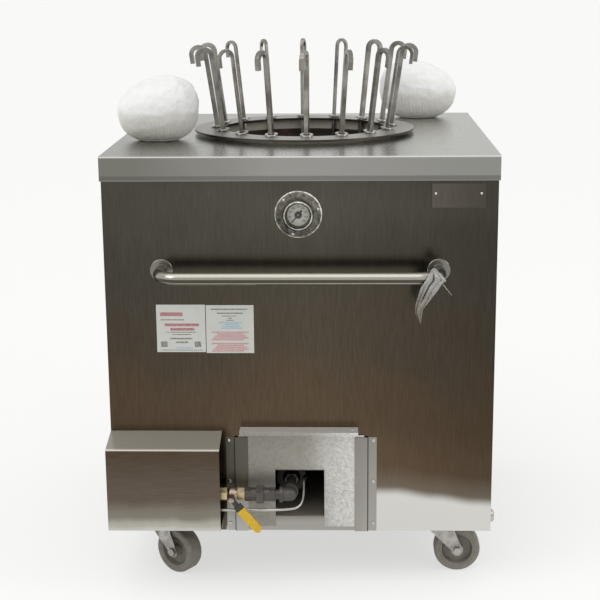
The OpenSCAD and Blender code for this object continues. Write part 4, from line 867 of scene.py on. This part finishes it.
for number in range(number_count):
    turned = math.radians(scale_start - scale_sweep * number / (number_count - 1))
    bpy.ops.object.text_add(location=(0, 0, 0))
    figure = bpy.context.object
    figure.data.body = str(100 * (number + 1))
    figure.data.size = 0.0046
    figure.data.align_x = "CENTER"
    figure.data.align_y = "CENTER"
    figure.data.extrude = print_thick / 2
    figure.data.resolution_u = 2
    bpy.ops.object.convert(target="MESH")
    figure = bpy.context.object
    spot = Vector((dial_mid.x + number_circle * math.cos(turned), dial_low.y - print_thick,
                   dial_mid.z + number_circle * math.sin(turned)))
    figure.data.transform(Matrix.Translation(spot) @ Matrix.Rotation(math.pi / 2, 4, "X"))
    prints.append(figure)
bpy.ops.object.select_all(action="DESELECT")
for mark in prints:
    mark.select_set(True)
bpy.context.view_layer.objects.active = prints[0]
bpy.ops.object.join()
scale_print = bpy.context.object
scale_print.name = "dial_scale"
scale_print.data.materials.clear()
scale_print.data.materials.append(dial_ink)
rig.ride(scale_print, frame["nodes"]["thermometer_dial"]["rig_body"])
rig.slot(scale_print, "dial_white")

# The pointer is enamelled black and half bright. The glass is thin, clear and a little smeared, so
# that the dial shows through it.
black_enamel, tree, shade, place = new_finish("black_enamel", base_color="#141414")
patterned(shade, add_node(tree, "TexNoise", {"Vector": place, "Scale": 300.0}), rough=(0.28, 0.45))
softened("thermometer_needle", black_enamel, 0.0002)
clear_glass, tree, shade, place = new_finish("clear_float_glass", base_color="#F4F7F6", ior=1.3,
                                             transmission_weight=1.0)
smear = add_node(tree, "TexNoise", {"Vector": place, "Scale": 50.0, "Detail": 3.0})
patterned(shade, smear, rough=(0.0, 0.08))
softened("thermometer_glass", clear_glass, 0.0002)

# Two bread pads: cotton cloth drawn tight over a stuffed core and gathered underneath, with which
# the dough is slapped on the pot's wall. They stand loose on the worktop.
cotton, tree, shade, place = new_finish("white_cotton_cloth", roughness=0.92, sheen_weight=0.25,
                                        sheen_roughness=0.5)
weave = add_node(tree, "TexNoise", {"Vector": place, "Scale": 700.0, "Detail": 3.0})
creases = add_node(tree, "TexNoise", {"Vector": place, "Scale": 40.0, "Detail": 5.0, "Distortion": 0.8})
patterned(shade, creases, tones=("#D6D7D5", "#EBECEB"))
# The lower half has painted shade, grey up to a blotchy line.
half_way = sum(corner.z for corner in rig.box("bread_pad_left")) / 2
up = add_node(tree, "SeparateXYZ", {0: place}).outputs["Z"]
blotchy = add_node(tree, "TexNoise", {"Vector": place, "Scale": 26.0, "Detail": 3.0})
painted_shade_line = add_node(tree, "MapRange", {"Value": blotchy, "To Min": half_way - 0.026,
                                           "To Max": half_way + 0.01})
above = add_node(tree, "Math", {0: up, 1: painted_shade_line}, operation="SUBTRACT")
lower_painted_shade = add_node(tree, "MapRange", {"Value": above, "From Min": -0.012, "From Max": 0.01, "To Min": 1.0,
                                     "To Max": 0.0}, interpolation_type="SMOOTHSTEP")
overlaid(shade, lower_painted_shade, "#CBCAC5")
fine = add_node(tree, "Bump", {"Height": weave, "Strength": 0.35, "Distance": 0.0005})
plug(shade, {"Normal": add_node(tree, "Bump", {"Height": creases, "Strength": 0.35, "Distance": 0.002,
                                               "Normal": fine})})


def stuffed_pad(name, node_name, lean, seed):
    """A round pad, its crown drawn to one side, its cloth gathered in fine pleats towards the base."""
    low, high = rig.box(node_name)
    middle, half = (low + high) / 2, (high - low) / 2
    bpy.ops.object.select_all(action="DESELECT")
    bpy.ops.mesh.primitive_uv_sphere_add(segments=64, ring_count=40, radius=1, location=(0, 0, 0))
    pad = bpy.context.object
    pad.name = name
    # The ball is filled out and flattened below its middle, and its crown leans over. It stays a
    # little inside the solid's box, because the cloth swells when it is blown up.
    for v in pad.data.vertices:
        x, y, z = v.co
        fuller = (x * x + y * y) ** -0.06 if z < 0 and x * x + y * y > 0.01 else 1.0
        level = -(-z) ** 0.78 if z < 0 else z * (1 + 0.15 * lean * x) * 0.97
        shift = 0.10 * lean * max(0.0, z)
        v.co = Vector((middle.x + half.x * 0.95 * (x * fuller + shift),
                       middle.y + half.y * 0.95 * y * fuller,
                       max(low.z, middle.z + half.z * level * (1.08 if z < 0 else 1.0))))
    pad.data.materials.append(cotton)
    mesh_size = pad.modifiers.new("even_cloth", "REMESH")
    mesh_size.mode = "VOXEL"
    mesh_size.voxel_size = 0.005
    bpy.ops.object.modifier_apply(modifier=mesh_size.name)
    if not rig.quick():
        start = [v.co.copy() for v in pad.data.vertices]
        tied = pad.vertex_groups.new(name="tied")
        tied.add([v.index for v in pad.data.vertices if v.co.z < low.z + 0.004], 1.0, "REPLACE")
        cloth = pad.modifiers.new("cloth", "CLOTH")
        cloth.settings.use_pressure = True
        cloth.settings.uniform_pressure_force = 4
        cloth.settings.effector_weights.gravity = 0
        cloth.settings.vertex_group_mass = "tied"
        cloth.settings.quality = 4
        last_moment = 20
        cloth.point_cache.frame_end = last_moment
        for moment in range(1, last_moment + 1):
            bpy.context.scene.frame_set(moment)
        blown = pad.evaluated_get(bpy.context.evaluated_depsgraph_get())
        ends = [v.co.copy() for v in blown.data.vertices]
        pad.modifiers.remove(cloth)
        bpy.context.scene.frame_set(1)
        farthest = 0.005
        for v, a, b in zip(pad.data.vertices, start, ends):
            push = b - a
            if push.length > farthest:
                push.length = farthest
            v.co = a + push
    finer = pad.modifiers.new("finer", "SUBSURF")
    finer.levels = finer.render_levels = 1
    bpy.ops.object.modifier_apply(modifier=finer.name)
    # The cloth is pleated below half of its height and a little knobbly, more so towards the top.
    pleat_count, pleat_depth, lump_height = 58, 0.0044, 0.0015
    outward = [v.normal.copy() for v in pad.data.vertices]
    for v, normal in zip(pad.data.vertices, outward):
        around = math.atan2(v.co.y - middle.y, v.co.x - middle.x)
        rise = (v.co.z - low.z) / (high.z - low.z)
        wander = math.sin(3 * around + seed) + 0.6 * math.sin(7 * around + 2 * seed)
        depth = max(0.0, 0.5 - rise) / 0.5
        pleat = 0.5 + 0.5 * math.sin(pleat_count * around + 1.4 * wander)
        lump = noise.noise(v.co * 55) + 0.5 * noise.noise(v.co * 130)
        moved = -pleat_depth * depth ** 1.5 * pleat if rise > 0.02 else 0.0
        v.co += normal * (moved + lump_height * lump * (0.5 + rise))
        v.co.z = max(v.co.z, low.z)
    bpy.ops.object.shade_smooth()
    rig.ride(pad, frame["nodes"][node_name]["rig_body"])
    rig.replaces(pad, node_name)
    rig.slot(pad, "cloth")
    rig.padded(pad, fill=0.85)


stuffed_pad("left_bread_pad", "bread_pad_left", 1.0, 0.4)
stuffed_pad("right_bread_pad", "bread_pad_right", -1.0, 2.1)

# A clear plastic document bag is tied to the right end of the push bar. It hangs crumpled, in three
# long folds that run down to one corner, with its string hanging from the other.
clear_film, tree, shade, place = new_finish("clear_plastic_film", roughness=0.3, ior=1.45,
                                            transmission_weight=0.35)
crinkle = add_node(tree, "TexNoise", {"Vector": place, "Scale": 90.0, "Detail": 5.0, "Distortion": 1.5})
patterned(shade, crinkle, tones=("#7C7871", "#DEDFDB"), relief=(0.6, 0.002))
# The folds' valleys are darkened with painted shade.
overlaid(shade, add_node(tree, "Attribute", attribute_name="fold").outputs["Fac"], "#4A463F")
# Its lower end is smoked brown.
up = add_node(tree, "SeparateXYZ", {0: place}).outputs["Z"]
multiplied(shade, tone_ramp(tree, up, [(0.62, "#C2BAB0"), (0.655, "#D8CFC8"), (0.69, "#FFFFFF")]))
# Its left and right edges in metres, as height and place across, from the knot down to the tip.
bag_left = [(0.726, 0.2665), (0.717, 0.2625), (0.687, 0.2455), (0.650, 0.2355), (0.634, 0.2350),
            (0.610, 0.2455)]
bag_right = [(0.726, 0.2760), (0.717, 0.2820), (0.7055, 0.2945), (0.7005, 0.2950), (0.6965, 0.2875),
             (0.684, 0.2815), (0.662, 0.2670), (0.640, 0.2500), (0.610, 0.2465)]


def edge_across(edge, up):
    """How far across an edge of the bag stands at a height."""
    for (z1, x1), (z2, x2) in zip(edge, edge[1:]):
        if up >= z2:
            return x2 + (x1 - x2) * (up - z2) / (z1 - z2)
    return edge[-1][1]


bpy.ops.object.select_all(action="DESELECT")
bpy.ops.mesh.primitive_grid_add(x_subdivisions=28, y_subdivisions=60, size=2, location=(0, 0, 0))
bag = bpy.context.object
bag.name = "document_bag_film"
bar_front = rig.box("handle")[0].y
bag_top, bag_tip = bag_left[0][0], bag_left[-1][0]


def fold_depth(share, up):
    """How deep the film is folded in, from 0 to 1: an open slit, a slack fold beside it and a crease."""
    slit = math.exp(-((share - 0.38) / 0.05) ** 2) * min(1.0, max(0.0, (up - 0.645) / 0.02))
    slack = 0.6 * math.exp(-((share - 0.17) / 0.06) ** 2) * min(1.0, max(0.0, (0.705 - up) / 0.02))
    crease = 0.45 * math.exp(-((share - 0.72 - 0.06 * math.sin(90 * up)) / 0.03) ** 2)
    return max(slit * min(1.0, (0.722 - up) / 0.01 if up < 0.722 else 0.0), slack, crease)


depths = bag.data.attributes.new("fold", "FLOAT", "POINT")
for v in bag.data.vertices:
    share = (v.co.x + 1) / 2
    up = bag_tip + (bag_top - bag_tip) * (v.co.y + 1) / 2
    left, right = edge_across(bag_left, up), edge_across(bag_right, up)
    hang = min(1.0, max(0.0, (0.695 - up) / 0.03))
    inward = fold_depth(share, up)
    depths.data[v.index].value = inward
    swell = math.sin(math.pi * share) * min(1.0, (right - left) / 0.02)
    behind_front = -0.002 + 0.010 * hang + 0.004 * inward - 0.005 * swell
    v.co = Vector((left + (right - left) * share, bar_front + behind_front, up))
bpy.ops.object.mode_set(mode="EDIT")
bpy.ops.mesh.select_all(action="SELECT")
bpy.ops.mesh.normals_make_consistent(inside=False)
bpy.ops.object.mode_set(mode="OBJECT")
film = bag.modifiers.new("film", "SOLIDIFY")
film.thickness = 0.0002
bpy.ops.object.modifier_apply(modifier=film.name)
string_ends = (Vector((0.2875, bar_front - 0.004, 0.6965)), Vector((0.3075, bar_front - 0.001, 0.6715)))
run = string_ends[1] - string_ends[0]
bpy.ops.mesh.primitive_cylinder_add(vertices=10, radius=0.0007, depth=run.length, location=(0, 0, 0))
string = bpy.context.object
string.data.transform(Matrix.Translation((string_ends[0] + string_ends[1]) / 2)
                      @ run.to_track_quat("Z", "Y").to_matrix().to_4x4())
bpy.ops.mesh.primitive_torus_add(location=(0, 0, 0), major_radius=0.0052, minor_radius=0.0013,
                                 major_segments=24, minor_segments=8)
knot = bpy.context.object
knot_place = Vector((0.2715, bar_front - 0.0036, 0.7215))
knot.data.transform(Matrix.Translation(knot_place) @ Matrix.Rotation(math.pi / 2, 4, "X"))
bpy.ops.object.select_all(action="DESELECT")
for part in (bag, string, knot):
    part.select_set(True)
bpy.context.view_layer.objects.active = bag
bpy.ops.object.join()
bag.data.materials.clear()
bag.data.materials.append(clear_film)
bpy.ops.object.shade_smooth_by_angle(angle=math.radians(50))
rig.ride(bag, frame["nodes"]["document_bag"]["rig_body"])
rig.replaces(bag, "document_bag")
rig.slot(bag, "clear_plastic")

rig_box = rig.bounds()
with open("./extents.json", "w") as report:
    json.dump({"cad": [list(c) for c in cad_box], "visual": [list(c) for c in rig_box]}, report)
